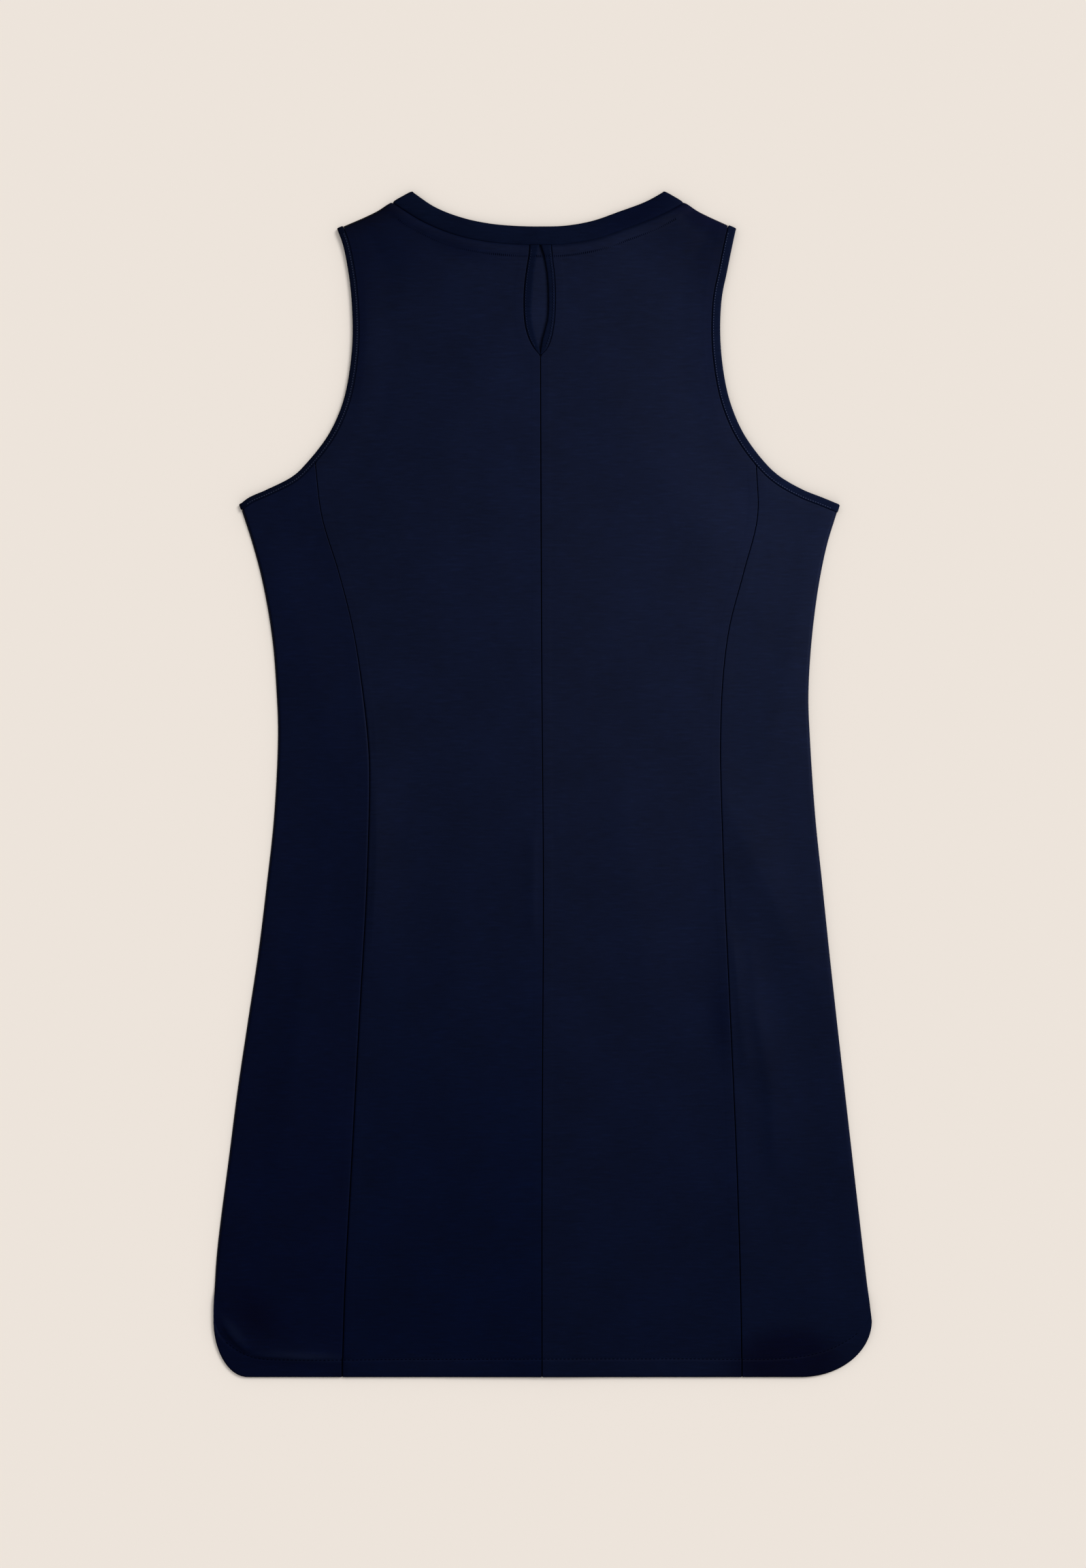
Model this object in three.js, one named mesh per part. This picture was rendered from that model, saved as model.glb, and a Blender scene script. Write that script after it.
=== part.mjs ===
// A sleeveless jersey dress laid flat on a surface with its back up, in millimetres.
// +X runs to the right and +Y from the hem to the neck, both as seen from above, and +Z is up.
// The origin is on the surface, under the middle of the dress.
// The front lies flat on the surface, and the four panels of the back lie on it.
import * as THREE from "three";

// Driving sizes
const LENGTH = 905; // hem edge to neck point
const HALF_WIDTH = 251.25; // centre line to the widest point, just above the hem corners
const CLOTH = 1.2; // one layer of jersey
const FOLDED = 1.8; // hems, neckband and bindings, which are doubled
const SEAM = 0.3; // gap between neighbouring pieces
const SLIT = 43; // height of the hem corners, which are open at the sides
const HEM_DEPTH = 14;
const NECKBAND_DEPTH = 14;
const NECKBAND_AT_SHOULDER = 17; // the band is cut aslant there
const HEM_ABOVE_SLIT = 12; // height of the hem's stitch line above the slit
const BINDING_WIDTH = { left: 4.8, right: 6.5 }; // the left one is rolled under a little
const STRIP = 7.5; // raised seam allowance below the neckband
const STRIP_RISE = 0.4;
const FRONT_ARMHOLE_INSET = 2; // the front is cut a little further in, and hides under the back
const EDGE_ROUND = 2; // radius of the folds at the sides and shoulders
const EDGE_LIFT = 0.6; // how much the layers stand apart there
const EDGE_LIFT_REACH = 30;
const EDGE_FOOT = 0.8; // height at which the back's wall ends there, outside the front's edge
const FRONT_EDGE_INSET = CLOTH + 3 * SEAM; // the front's edge lies inside the fold
const TRIM_FOLD = 1.8; // length of a trim taken up where it folds over to the front
const ACROSS_STEP = 16; // width of the cells of the back's walls
const SKIRT_STEP = 24; // and their height, which is less where the edges curve more
const BODICE_STEP = 12;
const KEYHOLE_STEP = 7;
const BODICE_FROM = 540; // height above the hem edge
const KEYHOLE_FROM = 765;
const TRIM_STEP = 11;
const FRONT_STEP = 22;

// Outline of the folded sides, by height above the hem edge
const SIDES = [
  { up: 43, left: -251.25, right: 251.25 },
  { up: 64, left: -251.0, right: 248.7 },
  { up: 90, left: -249.2, right: 245.6 },
  { up: 116, left: -246.4, right: 242.6 },
  { up: 168, left: -239.6, right: 236.6 },
  { up: 220, left: -232.9, right: 230.7 },
  { up: 272, left: -225.1, right: 224.8 },
  { up: 324, left: -217.2, right: 219.1 },
  { up: 376, left: -210.8, right: 213.7 },
  { up: 428, left: -205.2, right: 208.3 },
  { up: 490, left: -202.2, right: 204.1 },
  { up: 521, left: -203.2, right: 203.1 },
  { up: 563, left: -206.5, right: 205.6 },
  { up: 605, left: -213.6, right: 211.0 },
  { up: 636, left: -221.6, right: 217.4 },
  { up: 666, left: -231.3, right: 226.6 },
];

// Armhole edges, from the underarm to the shoulder
const ARMHOLES = [
  { up: 666, left: -231.3, right: 226.6 },
  { up: 671.4, left: -224.2, right: 213.6 },
  { up: 677.4, left: -210.8, right: 198.7 },
  { up: 687.9, left: -190.5, right: 180.6 },
  { up: 698.3, left: -179.7, right: 169.5 },
  { up: 719.1, left: -163.7, right: 154.1 },
  { up: 739.9, left: -153.9, right: 144.6 },
  { up: 760.7, left: -148.6, right: 139.2 },
  { up: 791.9, left: -145.2, right: 135.7 },
  { up: 823.1, left: -146.0, right: 136.7 },
  { up: 843.9, left: -148.4, right: 140.8 },
  { up: 864.7, left: -152.6, right: 145.0 },
  { up: 876.6, left: -157.0, right: 147.6 },
];

// Shaped seams of the back, from the hem to the armhole binding, where each ends at this share of the armhole
const SHAPED_SEAMS = [
  { up: 0, left: -153.1, right: 152.1 },
  { up: 64, left: -151.1, right: 151.1 },
  { up: 168, left: -145.6, right: 147.9 },
  { up: 272, left: -140.1, right: 143.3 },
  { up: 376, left: -134.2, right: 138.6 },
  { up: 454, left: -132.2, right: 136.0 },
  { up: 480, left: -132.9, right: 135.6 },
  { up: 532, left: -138.6, right: 137.5 },
  { up: 573, left: -145.3, right: 142.7 },
  { up: 615, left: -156.0, right: 153.7 },
  { up: 657, left: -168.7, right: 164.1 },
];
const SHAPED_SEAM_END = { left: 0.26, right: 0.27 };

// Seam down the middle of the back, from the hem to the foot of the keyhole
const CENTRE_SEAM = [
  { up: 0, middle: -0.5 },
  { up: 130, middle: -0.6 },
  { up: 380, middle: 0.4 },
  { up: 560, middle: -0.9 },
  { up: 780, middle: -1.7 },
];

// Keyhole, from its foot to the neckband: the seams of its two bindings, and the opening between them
const KEYHOLE = [
  { up: 780, leftSeam: -1.9, leftEdge: -1.8, rightEdge: -1.6, rightSeam: -1.5 },
  { up: 785, leftSeam: -6.2, leftEdge: -2.6, rightEdge: -1.3, rightSeam: 3.2 },
  { up: 791.5, leftSeam: -9.9, leftEdge: -4.6, rightEdge: -0.3, rightSeam: 6.0 },
  { up: 799, leftSeam: -12.5, leftEdge: -6.6, rightEdge: 1.7, rightSeam: 7.8 },
  { up: 808, leftSeam: -14.0, leftEdge: -8.1, rightEdge: 3.9, rightSeam: 9.0 },
  { up: 818, leftSeam: -14.4, leftEdge: -8.3, rightEdge: 4.5, rightSeam: 9.6 },
  { up: 831, leftSeam: -14.1, leftEdge: -7.4, rightEdge: 4.3, rightSeam: 9.6 },
  { up: 843, leftSeam: -12.7, leftEdge: -6.4, rightEdge: 3.4, rightSeam: 8.8 },
  { up: 852, leftSeam: -11.3, leftEdge: -5.2, rightEdge: 1.9, rightSeam: 7.7 },
  { up: 857, leftSeam: -10.5, leftEdge: -4.2, rightEdge: 0.9, rightSeam: 7.2 },
  { up: 864, leftSeam: -9.9, leftEdge: -2.6, rightEdge: -1.4, rightSeam: 6.5 },
];
const KEYHOLE_FOOT = 3; // the bindings end this far above the foot of the keyhole
const KEYHOLE_FOOT_WIDTH = 1; // and are at least this wide

// Neck edges of the back and the front, from the left neck point to the right one
const BACK_NECK = [
  { across: -100, up: 905 },
  { across: -82, up: 893 },
  { across: -61, up: 884.9 },
  { across: -40, up: 880.5 },
  { across: -19.5, up: 878.7 },
  { across: -1.3, up: 878.3 },
  { across: 17, up: 878.9 },
  { across: 37.7, up: 882.5 },
  { across: 58.5, up: 889.7 },
  { across: 79.3, up: 897.5 },
  { across: 93, up: 905 },
];
const FRONT_NECK = [
  { across: -100, up: 905 },
  { across: -85, up: 884 },
  { across: -60, up: 869.5 },
  { across: -30, up: 862.5 },
  { across: -3, up: 861 },
  { across: 24, up: 862.5 },
  { across: 54, up: 869.5 },
  { across: 79, up: 884 },
  { across: 93, up: 905 },
];

// Shoulder folds, from the armhole to the neck point
const SHOULDERS = {
  left: [
    { across: -157, up: 876.6 },
    { across: -131, up: 888 },
    { across: -100, up: 905 },
  ],
  right: [
    { across: 147.6, up: 876.6 },
    { across: 121, up: 889 },
    { across: 93, up: 905 },
  ],
};

// Hem corners: width of the stretch in which each curves up to the side
const HEM_CORNER = { left: 26, right: 54 };

// Soft folds of the back. lean turns a fold to the left of straight up, in degrees,
// length and width are where it has fallen to about a third of its height.
const FOLDS = [
  { across: 0, up: 150, lean: 0, length: 190, width: 70, height: 1.9 },
  { across: -1, up: 470, lean: 0, length: 150, width: 46, height: 0.9 },
  { across: -134, up: 392, lean: -1, length: 92, width: 25, height: 2.3 },
  { across: -151, up: 150, lean: 2, length: 110, width: 30, height: 1.2 },
  { across: 142, up: 275, lean: 3, length: 78, width: 12, height: 1.9 },
  { across: 163, up: 288, lean: 5, length: 44, width: 10, height: 1.1 },
  { across: 149, up: 120, lean: 1, length: 74, width: 18, height: 1.2 },
  { across: 172, up: 372, lean: 26, length: 96, width: 26, height: 2.2 },
  { across: 182, up: 520, lean: -12, length: 84, width: 30, height: 1.4 },
  { across: 70, up: 372, lean: 7, length: 88, width: 24, height: 0.9 },
  { across: -72, up: 300, lean: -9, length: 104, width: 28, height: 0.8 },
  { across: -190, up: 250, lean: -8, length: 120, width: 20, height: 1.3 },
  { across: -182, up: 560, lean: 16, length: 80, width: 24, height: 1.2 },
  { across: 84, up: 700, lean: 34, length: 92, width: 34, height: 1.0 },
  { across: -70, up: 720, lean: -28, length: 84, width: 38, height: 0.7 },
  { across: 196, up: 56, lean: 62, length: 66, width: 20, height: 2.0 },
  { across: -204, up: 50, lean: -58, length: 58, width: 15, height: 1.6 },
];

const SAMPLES = 240; // points that stand for an edge when distances to it are measured
const NUDGE = 1e-3; // share of a path used to find its direction
const UP = new THREE.Vector3(0, 0, 1);

const jersey = new THREE.MeshStandardMaterial({ color: 0x0f1427, roughness: 0.85, metalness: 0 });
const trimJersey = new THREE.MeshStandardMaterial({ color: 0x0b1022, roughness: 0.9, metalness: 0 });

// A point on the flat, from its place across the dress and its height above the hem edge.
function at(across, up) {
  return new THREE.Vector3(across, up - LENGTH / 2, 0);
}

// The points of one column of a table.
function column(rows, name) {
  return rows.map((row) => at(row[name], row.up));
}

// A path is a function from a share of its length, 0 to 1, to a point on the flat.
function pathThrough(points) {
  const curve = new THREE.CatmullRomCurve3(points, false, "centripetal");
  curve.arcLengthDivisions = SAMPLES;
  return (share) => curve.getPointAt(THREE.MathUtils.clamp(share, 0, 1));
}

// The stretch of a path between two shares of its length, which runs backwards if from is the larger.
function part(path, from, to) {
  return (share) => path(from + (to - from) * share);
}

function backwards(path) {
  return part(path, 1, 0);
}

function lengthOf(path) {
  let length = 0;
  for (let step = 0; step < SAMPLES; step += 1) {
    length += path(step / SAMPLES).distanceTo(path((step + 1) / SAMPLES));
  }
  return length;
}

// Several paths, end to end.
function chain(...paths) {
  const lengths = paths.map(lengthOf);
  const total = lengths.reduce((sum, length) => sum + length, 0);
  return (share) => {
    let rest = share * total;
    let index = 0;
    while (index < paths.length - 1 && rest > lengths[index]) {
      rest -= lengths[index];
      index += 1;
    }
    return paths[index](Math.min(rest / lengths[index], 1));
  };
}

// The share of a path, which runs from left to right or back, where it is this far across.
function shareAcross(path, across) {
  const forwards = path(1).x > path(0).x;
  let low = 0;
  let high = 1;
  for (let halving = 0; halving < 30; halving += 1) {
    const middle = (low + high) / 2;
    if (path(middle).x < across === forwards) low = middle;
    else high = middle;
  }
  return low;
}

// The way into the cloth, square to an edge that runs clockwise round the dress.
function inwards(path, share) {
  const ahead = path(Math.min(share + NUDGE, 1)).sub(path(Math.max(share - NUDGE, 0))).normalize();
  return new THREE.Vector3(ahead.y, -ahead.x, 0);
}

// From 1 at an edge to 0, staying 1 for the first stretch and then fading.
function near(distance, flat, fade) {
  return 1 - THREE.MathUtils.smoothstep(distance, flat, flat + fade);
}

// A function that measures how far a point is from a path.
function distanceTo(path) {
  const points = Array.from({ length: SAMPLES + 1 }, (_, index) => path(index / SAMPLES));
  const nearest = new THREE.Vector3();
  const line = new THREE.Line3();
  return (point) => {
    const flat = new THREE.Vector3(point.x, point.y, 0);
    let best = Infinity;
    for (let index = 0; index < SAMPLES; index += 1) {
      line.set(points[index], points[index + 1]).closestPointToPoint(flat, true, nearest);
      best = Math.min(best, nearest.distanceTo(flat));
    }
    return best;
  };
}

// A trim, such as a hem, band or binding, runs along an edge. Its seam lies square to the edge at its depth,
// and turns towards the folds that it meets at its two ends.
function trim(edge, depth, atStart, atEnd) {
  const turning = Math.min(0.3, (2.2 * Math.max(depth, atStart.length())) / lengthOf(edge));
  return (share) =>
    inwards(edge, share)
      .multiplyScalar(depth)
      .lerp(atStart, near(share, 0, turning))
      .lerp(atEnd, near(1 - share, 0, turning));
}

// The line beyond a trim's seam by this much.
function seamOf(edge, across, beyond) {
  return (share) => {
    const way = across(share);
    return edge(share).add(way.setLength(way.length() + beyond));
  };
}

// Edges, all clockwise round the dress
const sides = {
  left: pathThrough(column(SIDES, "left")),
  right: backwards(pathThrough(column(SIDES, "right"))),
};
const armholes = {
  left: pathThrough(column(ARMHOLES, "left")),
  right: backwards(pathThrough(column(ARMHOLES, "right"))),
};
const shoulders = {
  left: pathThrough(column(SHOULDERS.left, "across")),
  right: backwards(pathThrough(column(SHOULDERS.right, "across"))),
};
const backNeck = pathThrough(column(BACK_NECK, "across"));
const frontNeck = pathThrough(column(FRONT_NECK, "across"));
const hem = chain(hemCorner("right"), hemLine(), hemCorner("left"));

// A quarter of an ellipse, from the side to the straight hem on the right, and from the hem to the side on
// the left.
function hemCorner(side) {
  const width = HEM_CORNER[side];
  const sign = side === "right" ? 1 : -1;
  const turn = Math.PI / 2;
  return (share) => {
    const angle = side === "right" ? turn * (1 - share) : turn * share;
    return at(sign * (HALF_WIDTH - width + width * Math.sin(angle)), SLIT * (1 - Math.cos(angle)));
  };
}

function hemLine() {
  const right = at(HALF_WIDTH - HEM_CORNER.right, 0);
  const left = at(-HALF_WIDTH + HEM_CORNER.left, 0);
  return (share) => right.clone().lerp(left, share);
}

// Trims: the way from each edge to its seam
const upSide = {
  left: inwardsAlong(sides.left, 0, HEM_ABOVE_SLIT),
  right: inwardsAlong(backwards(sides.right), 0, HEM_ABOVE_SLIT),
};
const acrossHem = trim(hem, HEM_DEPTH, upSide.right, upSide.left);
const acrossBackNeck = neckTrim(backNeck);
const acrossFrontNeck = neckTrim(frontNeck);
const frontArmholes = { left: frontArmhole("left"), right: frontArmhole("right") };
const backArmholeWays = {
  left: armholeTrim(armholes.left, "left"),
  right: armholeTrim(armholes.right, "right"),
};
const frontArmholeWays = {
  left: armholeTrim(frontArmholes.left, "left"),
  right: armholeTrim(frontArmholes.right, "right"),
};

// Seams of the back along its trims. The wall's own rounding adds to the neckband's.
const backNeckSeam = seamOf(backNeck, acrossBackNeck, 1.5 * SEAM - CLOTH / 2);
const armholeSeams = {
  left: seamOf(armholes.left, backArmholeWays.left, SEAM),
  right: seamOf(armholes.right, backArmholeWays.right, SEAM),
};

// The way along a path from one of its points, with a length.
function inwardsAlong(path, share, length) {
  return path(share + NUDGE * 5).sub(path(share)).setLength(length);
}

function neckTrim(neck) {
  const left = inwardsAlong(backwards(shoulders.left), 0, NECKBAND_AT_SHOULDER);
  const right = inwardsAlong(shoulders.right, 0, NECKBAND_AT_SHOULDER);
  return trim(neck, NECKBAND_DEPTH, left, right);
}

function armholeTrim(edge, side) {
  const width = BINDING_WIDTH[side];
  const underarm = inwardsAlong(side === "left" ? backwards(sides.left) : sides.right, 0, width);
  const shoulder = inwardsAlong(side === "left" ? shoulders.left : backwards(shoulders.right), 0, width);
  return side === "left" ? trim(edge, width, underarm, shoulder) : trim(edge, width, shoulder, underarm);
}

// The front's armhole leaves the back's at its ends and lies further in between them.
function frontArmhole(side) {
  const edge = armholes[side];
  return (share) =>
    edge(share).addScaledVector(inwards(edge, share), FRONT_ARMHOLE_INSET * Math.sin(Math.PI * share) ** 0.5);
}

// How high the back lies
const toNeck = distanceTo(backNeck);
const toArmholes = [distanceTo(armholes.left), distanceTo(armholes.right)];
const toSides = [distanceTo(sides.left), distanceTo(sides.right)];
const toShoulders = [distanceTo(shoulders.left), distanceTo(shoulders.right)];

function least(measures, point) {
  return Math.min(...measures.map((measure) => measure(point)));
}

// The lowest the back can lie on the front, whose trims are thicker than the rest.
function contact(point) {
  const overTrim = Math.max(near(toNeck(point), 36, 26), near(least(toArmholes, point), 12, 20));
  return CLOTH + SEAM + (FOLDED - CLOTH) * overTrim;
}

// How far the back stands off the front, at the folded edges and in its soft folds.
function lift(point) {
  const up = point.y + LENGTH / 2;
  let height = EDGE_LIFT * near(least([...toSides, ...toShoulders], point), 0, EDGE_LIFT_REACH);
  for (const fold of FOLDS) {
    const lean = THREE.MathUtils.degToRad(fold.lean);
    const right = point.x - fold.across;
    const above = up - fold.up;
    const along = above * Math.cos(lean) - right * Math.sin(lean);
    const beside = right * Math.cos(lean) + above * Math.sin(lean);
    height += fold.height * Math.exp(-((along / fold.length) ** 2) - Math.abs(beside / fold.width) ** 1.5);
  }
  return height;
}

// From 0 at a folded edge to 1, as a quarter of an ellipse. The sides start to round just above the slits,
// and the shoulders beside the neckband.
function rounded(point) {
  const aboveSlit = point.y + LENGTH / 2 - SLIT - HEM_ABOVE_SLIT;
  const besideBand = toNeck(point) - NECKBAND_AT_SHOULDER;
  const shares = [
    [least(toSides, point), THREE.MathUtils.smoothstep(aboveSlit, 2, 16)],
    [least(toShoulders, point), THREE.MathUtils.smoothstep(besideBand, 2, 14)],
  ].map(([distance, strength]) => {
    const rest = 1 - THREE.MathUtils.clamp((distance - CLOTH / 2) / EDGE_ROUND, 0, 1);
    return 1 - strength * (1 - Math.sqrt(Math.max(0, 1 - rest * rest)));
  });
  return Math.min(...shares);
}

// Height of the middle of the back's wall.
function backHeight(point, thickness) {
  const height = contact(point) + thickness / 2 + lift(point);
  return THREE.MathUtils.lerp(EDGE_FOOT, height, rounded(point));
}

// Places along a stretch, as shares of it: fixed ones near each end, and even ones between.
function stations(length, atStart, atEnd, step) {
  const first = atStart[atStart.length - 1];
  const last = length - atEnd[atEnd.length - 1];
  const ends = atEnd.map((distance) => length - distance).reverse();
  return [...atStart, ...evenly(first, last, step), ...ends].map((distance) => distance / length);
}

// Even distances strictly between two others.
function evenly(first, last, step) {
  const count = Math.max(1, Math.round((last - first) / step));
  return Array.from({ length: count - 1 }, (_, index) => first + ((last - first) * (index + 1)) / count);
}

// Even distances between marks, each with the step of the stretch that it starts.
function evenlyBetween(marks) {
  return marks.slice(1).flatMap(({ from }, index) => {
    const { from: start, step } = marks[index];
    return [...(index ? [start] : []), ...evenly(start, from, step)];
  });
}

// A point of the patch that fills four boundaries, which meet at their ends.
function patchPoint({ bottom, top, left, right }, u, v) {
  const ruled = bottom(u).multiplyScalar(1 - v).addScaledVector(top(u), v);
  ruled.addScaledVector(left(v), 1 - u).addScaledVector(right(v), u);
  ruled.addScaledVector(bottom(0), -(1 - u) * (1 - v)).addScaledVector(bottom(1), -u * (1 - v));
  return ruled.addScaledVector(top(0), -(1 - u) * v).addScaledVector(top(1), -u * v);
}

// A closed wall between two grids of points, each an array of rows. A looped wall joins its last row to its
// first.
function wall(outer, inner, looped = false) {
  const rows = outer.length;
  const columns = outer[0].length;
  const points = [...outer.flat(), ...inner.flat()];
  const side = rows * columns;
  const index = [];
  const quad = (a, b, c, d) => index.push(a, b, c, a, c, d);
  const strips = looped ? rows : rows - 1;
  for (let row = 0; row < strips; row += 1) {
    const here = row * columns;
    const next = ((row + 1) % rows) * columns;
    for (let cell = 0; cell < columns - 1; cell += 1) {
      quad(here + cell, here + cell + 1, next + cell + 1, next + cell);
      quad(side + here + cell, side + next + cell, side + next + cell + 1, side + here + cell + 1);
    }
    const end = columns - 1;
    quad(here, next, side + next, side + here);
    quad(here + end, side + here + end, side + next + end, next + end);
  }
  if (!looped) {
    const last = (rows - 1) * columns;
    for (let cell = 0; cell < columns - 1; cell += 1) {
      quad(cell, side + cell, side + cell + 1, cell + 1);
      quad(last + cell, last + cell + 1, side + last + cell + 1, side + last + cell);
    }
  }
  const geometry = new THREE.BufferGeometry().setFromPoints(points).setIndex(index);
  geometry.computeVertexNormals();
  return geometry;
}

// A wall on a grid of points in its middle, thickened both ways along the normals.
function wallOn(grid, thicknesses) {
  const offset = (sign) =>
    grid.map((row, i) =>
      row.map((point, j) => {
        const along = row[Math.min(j + 1, row.length - 1)].clone().sub(row[Math.max(j - 1, 0)]);
        const up = grid[Math.min(i + 1, grid.length - 1)][j].clone().sub(grid[Math.max(i - 1, 0)][j]);
        return point.clone().addScaledVector(along.cross(up).normalize(), (sign * thicknesses[i]) / 2);
      }),
    );
  return wall(offset(1), offset(-1));
}

// The flat rows of a panel, from its hem edge up: its hem, and then the patch above the hem's stitch line.
function panelRows({ hemPart, bounds, columns, rows }) {
  const hemRows = [0, 0.5, 1].map((share) => ({
    points: columns.map((u) => hemPart.edge(u).lerp(hemPart.seam(u), share)),
    thickness: FOLDED,
  }));
  const patchRows = rows.map((v) => ({
    points: columns.map((u) => patchPoint(bounds, u, v)),
    thickness: CLOTH,
  }));
  return [...hemRows, ...patchRows];
}

function backPanel(layout) {
  const rows = panelRows(layout);
  const grid = rows.map(({ points, thickness }) =>
    points.map((point) => point.setZ(backHeight(point, thickness) + (layout.relief?.(point) ?? 0))),
  );
  return wallOn(
    grid,
    rows.map(({ thickness }) => thickness),
  );
}

// The shaped seam on one side of the back, from the hem's stitch line to the armhole binding, where it meets
// the armhole at a share of that. The rows of the two panels beside it are at the same places along it.
function shapedSeam(side, foot) {
  const share = side === "left" ? SHAPED_SEAM_END.left : 1 - SHAPED_SEAM_END.right;
  const inside = column(SHAPED_SEAMS, side).filter((point) => point.y > foot.y + HEM_DEPTH);
  const path = pathThrough([foot, ...inside, armholeSeams[side](share)]);
  const length = lengthOf(path);
  const between = evenlyBetween([
    { from: 2, step: SKIRT_STEP },
    { from: BODICE_FROM - HEM_DEPTH, step: BODICE_STEP },
    { from: length - 4 },
  ]);
  const rows = [2, ...between, length - 4, length - SEAM / 2];
  return { path, share, length, rows };
}

// The hem of a back panel between two places across the dress.
function hemBetween(left, right) {
  const from = shareAcross(hem, left);
  const to = shareAcross(hem, right);
  return { edge: part(hem, from, to), seam: part(seamOf(hem, acrossHem, 0), from, to) };
}

// The edges of a centre panel: the inner one up the middle seam and the keyhole, and the outer one up the
// shaped seam and the armhole, with the shares of its rows.
function centreEdges(side) {
  const left = side === "left";
  const foot = hem(shareAcross(hem, CENTRE_SEAM[0].middle)).setY(HEM_DEPTH - LENGTH / 2);
  const middle = column(CENTRE_SEAM, "middle");
  const keyhole = column(KEYHOLE, `${side}Seam`);
  const top = backNeckSeam(shareAcross(backNeckSeam, keyhole[keyhole.length - 1].x));
  const inner = chain(
    pathThrough([foot, ...middle.slice(1)]),
    pathThrough([middle[middle.length - 1], ...keyhole.slice(1, -1), top]),
  );

  const shaped = SHAPED_SEAMS[0][side];
  const seam = shapedSeam(side, hem(shareAcross(hem, shaped)).setY(HEM_DEPTH - LENGTH / 2));
  const armhole = part(armholeSeams[side], seam.share, left ? 1 : 0);
  const outer = chain(seam.path, armhole);
  const length = lengthOf(outer);
  const keyholeFrom = (KEYHOLE_FROM / lengthOf(inner)) * length;
  const ends = [STRIP + 2.5, STRIP, 3, 1.8, 1, CLOTH / 2].map((distance) => length - distance);
  const above = evenlyBetween([
    { from: seam.length, step: BODICE_STEP },
    { from: keyholeFrom, step: KEYHOLE_STEP },
    { from: ends[0] },
  ]);
  const rows = [...seam.rows, seam.length, ...above, ...ends].map((distance) => distance / length);
  return { inner, outer, top, rows };
}

function centrePanel(side) {
  const left = side === "left";
  const shaped = SHAPED_SEAMS[0][side];
  const middle = CENTRE_SEAM[0].middle;
  const hemPart = left ? hemBetween(shaped, middle) : hemBetween(middle, shaped);
  const { inner, outer, top, rows } = centreEdges(side);

  const bandEnd = left ? 0 : 1;
  const shoulder = column(SHOULDERS[side], "across")[1];
  const outwards = chain(
    pathThrough([outer(1), shoulder, backNeckSeam(bandEnd)]),
    part(backNeckSeam, bandEnd, shareAcross(backNeckSeam, top.x)),
  );
  return backPanel({
    hemPart,
    bounds: {
      bottom: hemPart.seam,
      top: left ? outwards : backwards(outwards),
      left: left ? outer : inner,
      right: left ? inner : outer,
    },
    columns: stations(Math.abs(shaped - middle), [SEAM / 2, 4], [SEAM / 2, 4], ACROSS_STEP),
    rows,
    relief: (point) => STRIP_RISE * near(toNeck(point) - NECKBAND_DEPTH, STRIP, 2) * rounded(point),
  });
}

function sidePanel(side) {
  const left = side === "left";
  const shaped = SHAPED_SEAMS[0][side];
  const hemPart = left ? hemBetween(-HALF_WIDTH, shaped) : hemBetween(shaped, HALF_WIDTH);
  const seam = shapedSeam(side, hemPart.seam(left ? 1 : 0));
  const underarm = left ? 0 : 1;
  const outer = sideBetween(side, hemPart.seam(underarm), armholeSeams[side](underarm));
  const folded = [CLOTH / 2, 0.75, 1.1, 1.7, 2.7, 8];
  const sewn = [SEAM / 2, 4];
  return backPanel({
    hemPart,
    bounds: {
      bottom: hemPart.seam,
      top: left ? part(armholeSeams.left, 0, seam.share) : part(armholeSeams.right, seam.share, 1),
      left: left ? outer : seam.path,
      right: left ? seam.path : outer,
    },
    columns: stations(100, left ? folded : sewn, left ? sewn : folded, ACROSS_STEP),
    rows: seam.rows.map((distance) => distance / seam.length),
  });
}

// A folded side between two of its points.
function sideBetween(side, foot, head) {
  const inside = column(SIDES, side).filter(({ y }) => y > foot.y + HEM_DEPTH && y < head.y - HEM_DEPTH);
  return pathThrough([foot, ...inside, head]);
}

// The front is one flat piece on the surface. Its sides and shoulders lie inside the folds, and it meets the
// trims of the neck and armholes in the places that those have.
function front() {
  const points = [];
  const follow = (path, shares) => shares.forEach((share) => points.push(path(share)));
  const followFold = (path) => {
    const inset = (share) => path(share).addScaledVector(inwards(path, share), FRONT_EDGE_INSET);
    follow(inset, stations(lengthOf(path), [2], [2], FRONT_STEP));
  };
  const followBand = (edge, shares, across) => follow(seamOf(edge, across, SEAM), shares);
  const [hemLeft, hemRight] = [1, 0].map((share) => hem(share).addScaledVector(acrossHem(share), 1));

  followFold(sideBetween("left", hemLeft, armholeSeams.left(0)));
  followBand(frontArmholes.left, bandShares(armholes.left), frontArmholeWays.left);
  followFold(shoulderBetween("left"));
  followBand(frontNeck, bandShares(backNeck), acrossFrontNeck);
  followFold(shoulderBetween("right"));
  followBand(frontArmholes.right, bandShares(armholes.right), frontArmholeWays.right);
  followFold(backwards(sideBetween("right", hemRight, armholeSeams.right(1))));
  follow(hem, stations(lengthOf(hem), [0], [0], TRIM_STEP));

  const shape = new THREE.Shape(points.map(({ x, y }) => new THREE.Vector2(x, y)));
  return new THREE.ExtrudeGeometry(shape, { depth: CLOTH, bevelEnabled: false });
}

// A folded shoulder, clockwise round the dress, between the seams of the armhole binding and the neckband.
function shoulderBetween(side) {
  const left = side === "left";
  const ends = [armholeSeams[side](left ? 1 : 0), backNeckSeam(left ? 0 : 1)];
  const path = pathThrough([ends[0], column(SHOULDERS[side], "across")[1], ends[1]]);
  return left ? path : backwards(path);
}

// Places along the edge of a band that runs round an opening, without what its folds take up.
function bandShares(edge) {
  return stations(lengthOf(edge), [TRIM_FOLD], [TRIM_FOLD], TRIM_STEP);
}

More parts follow.
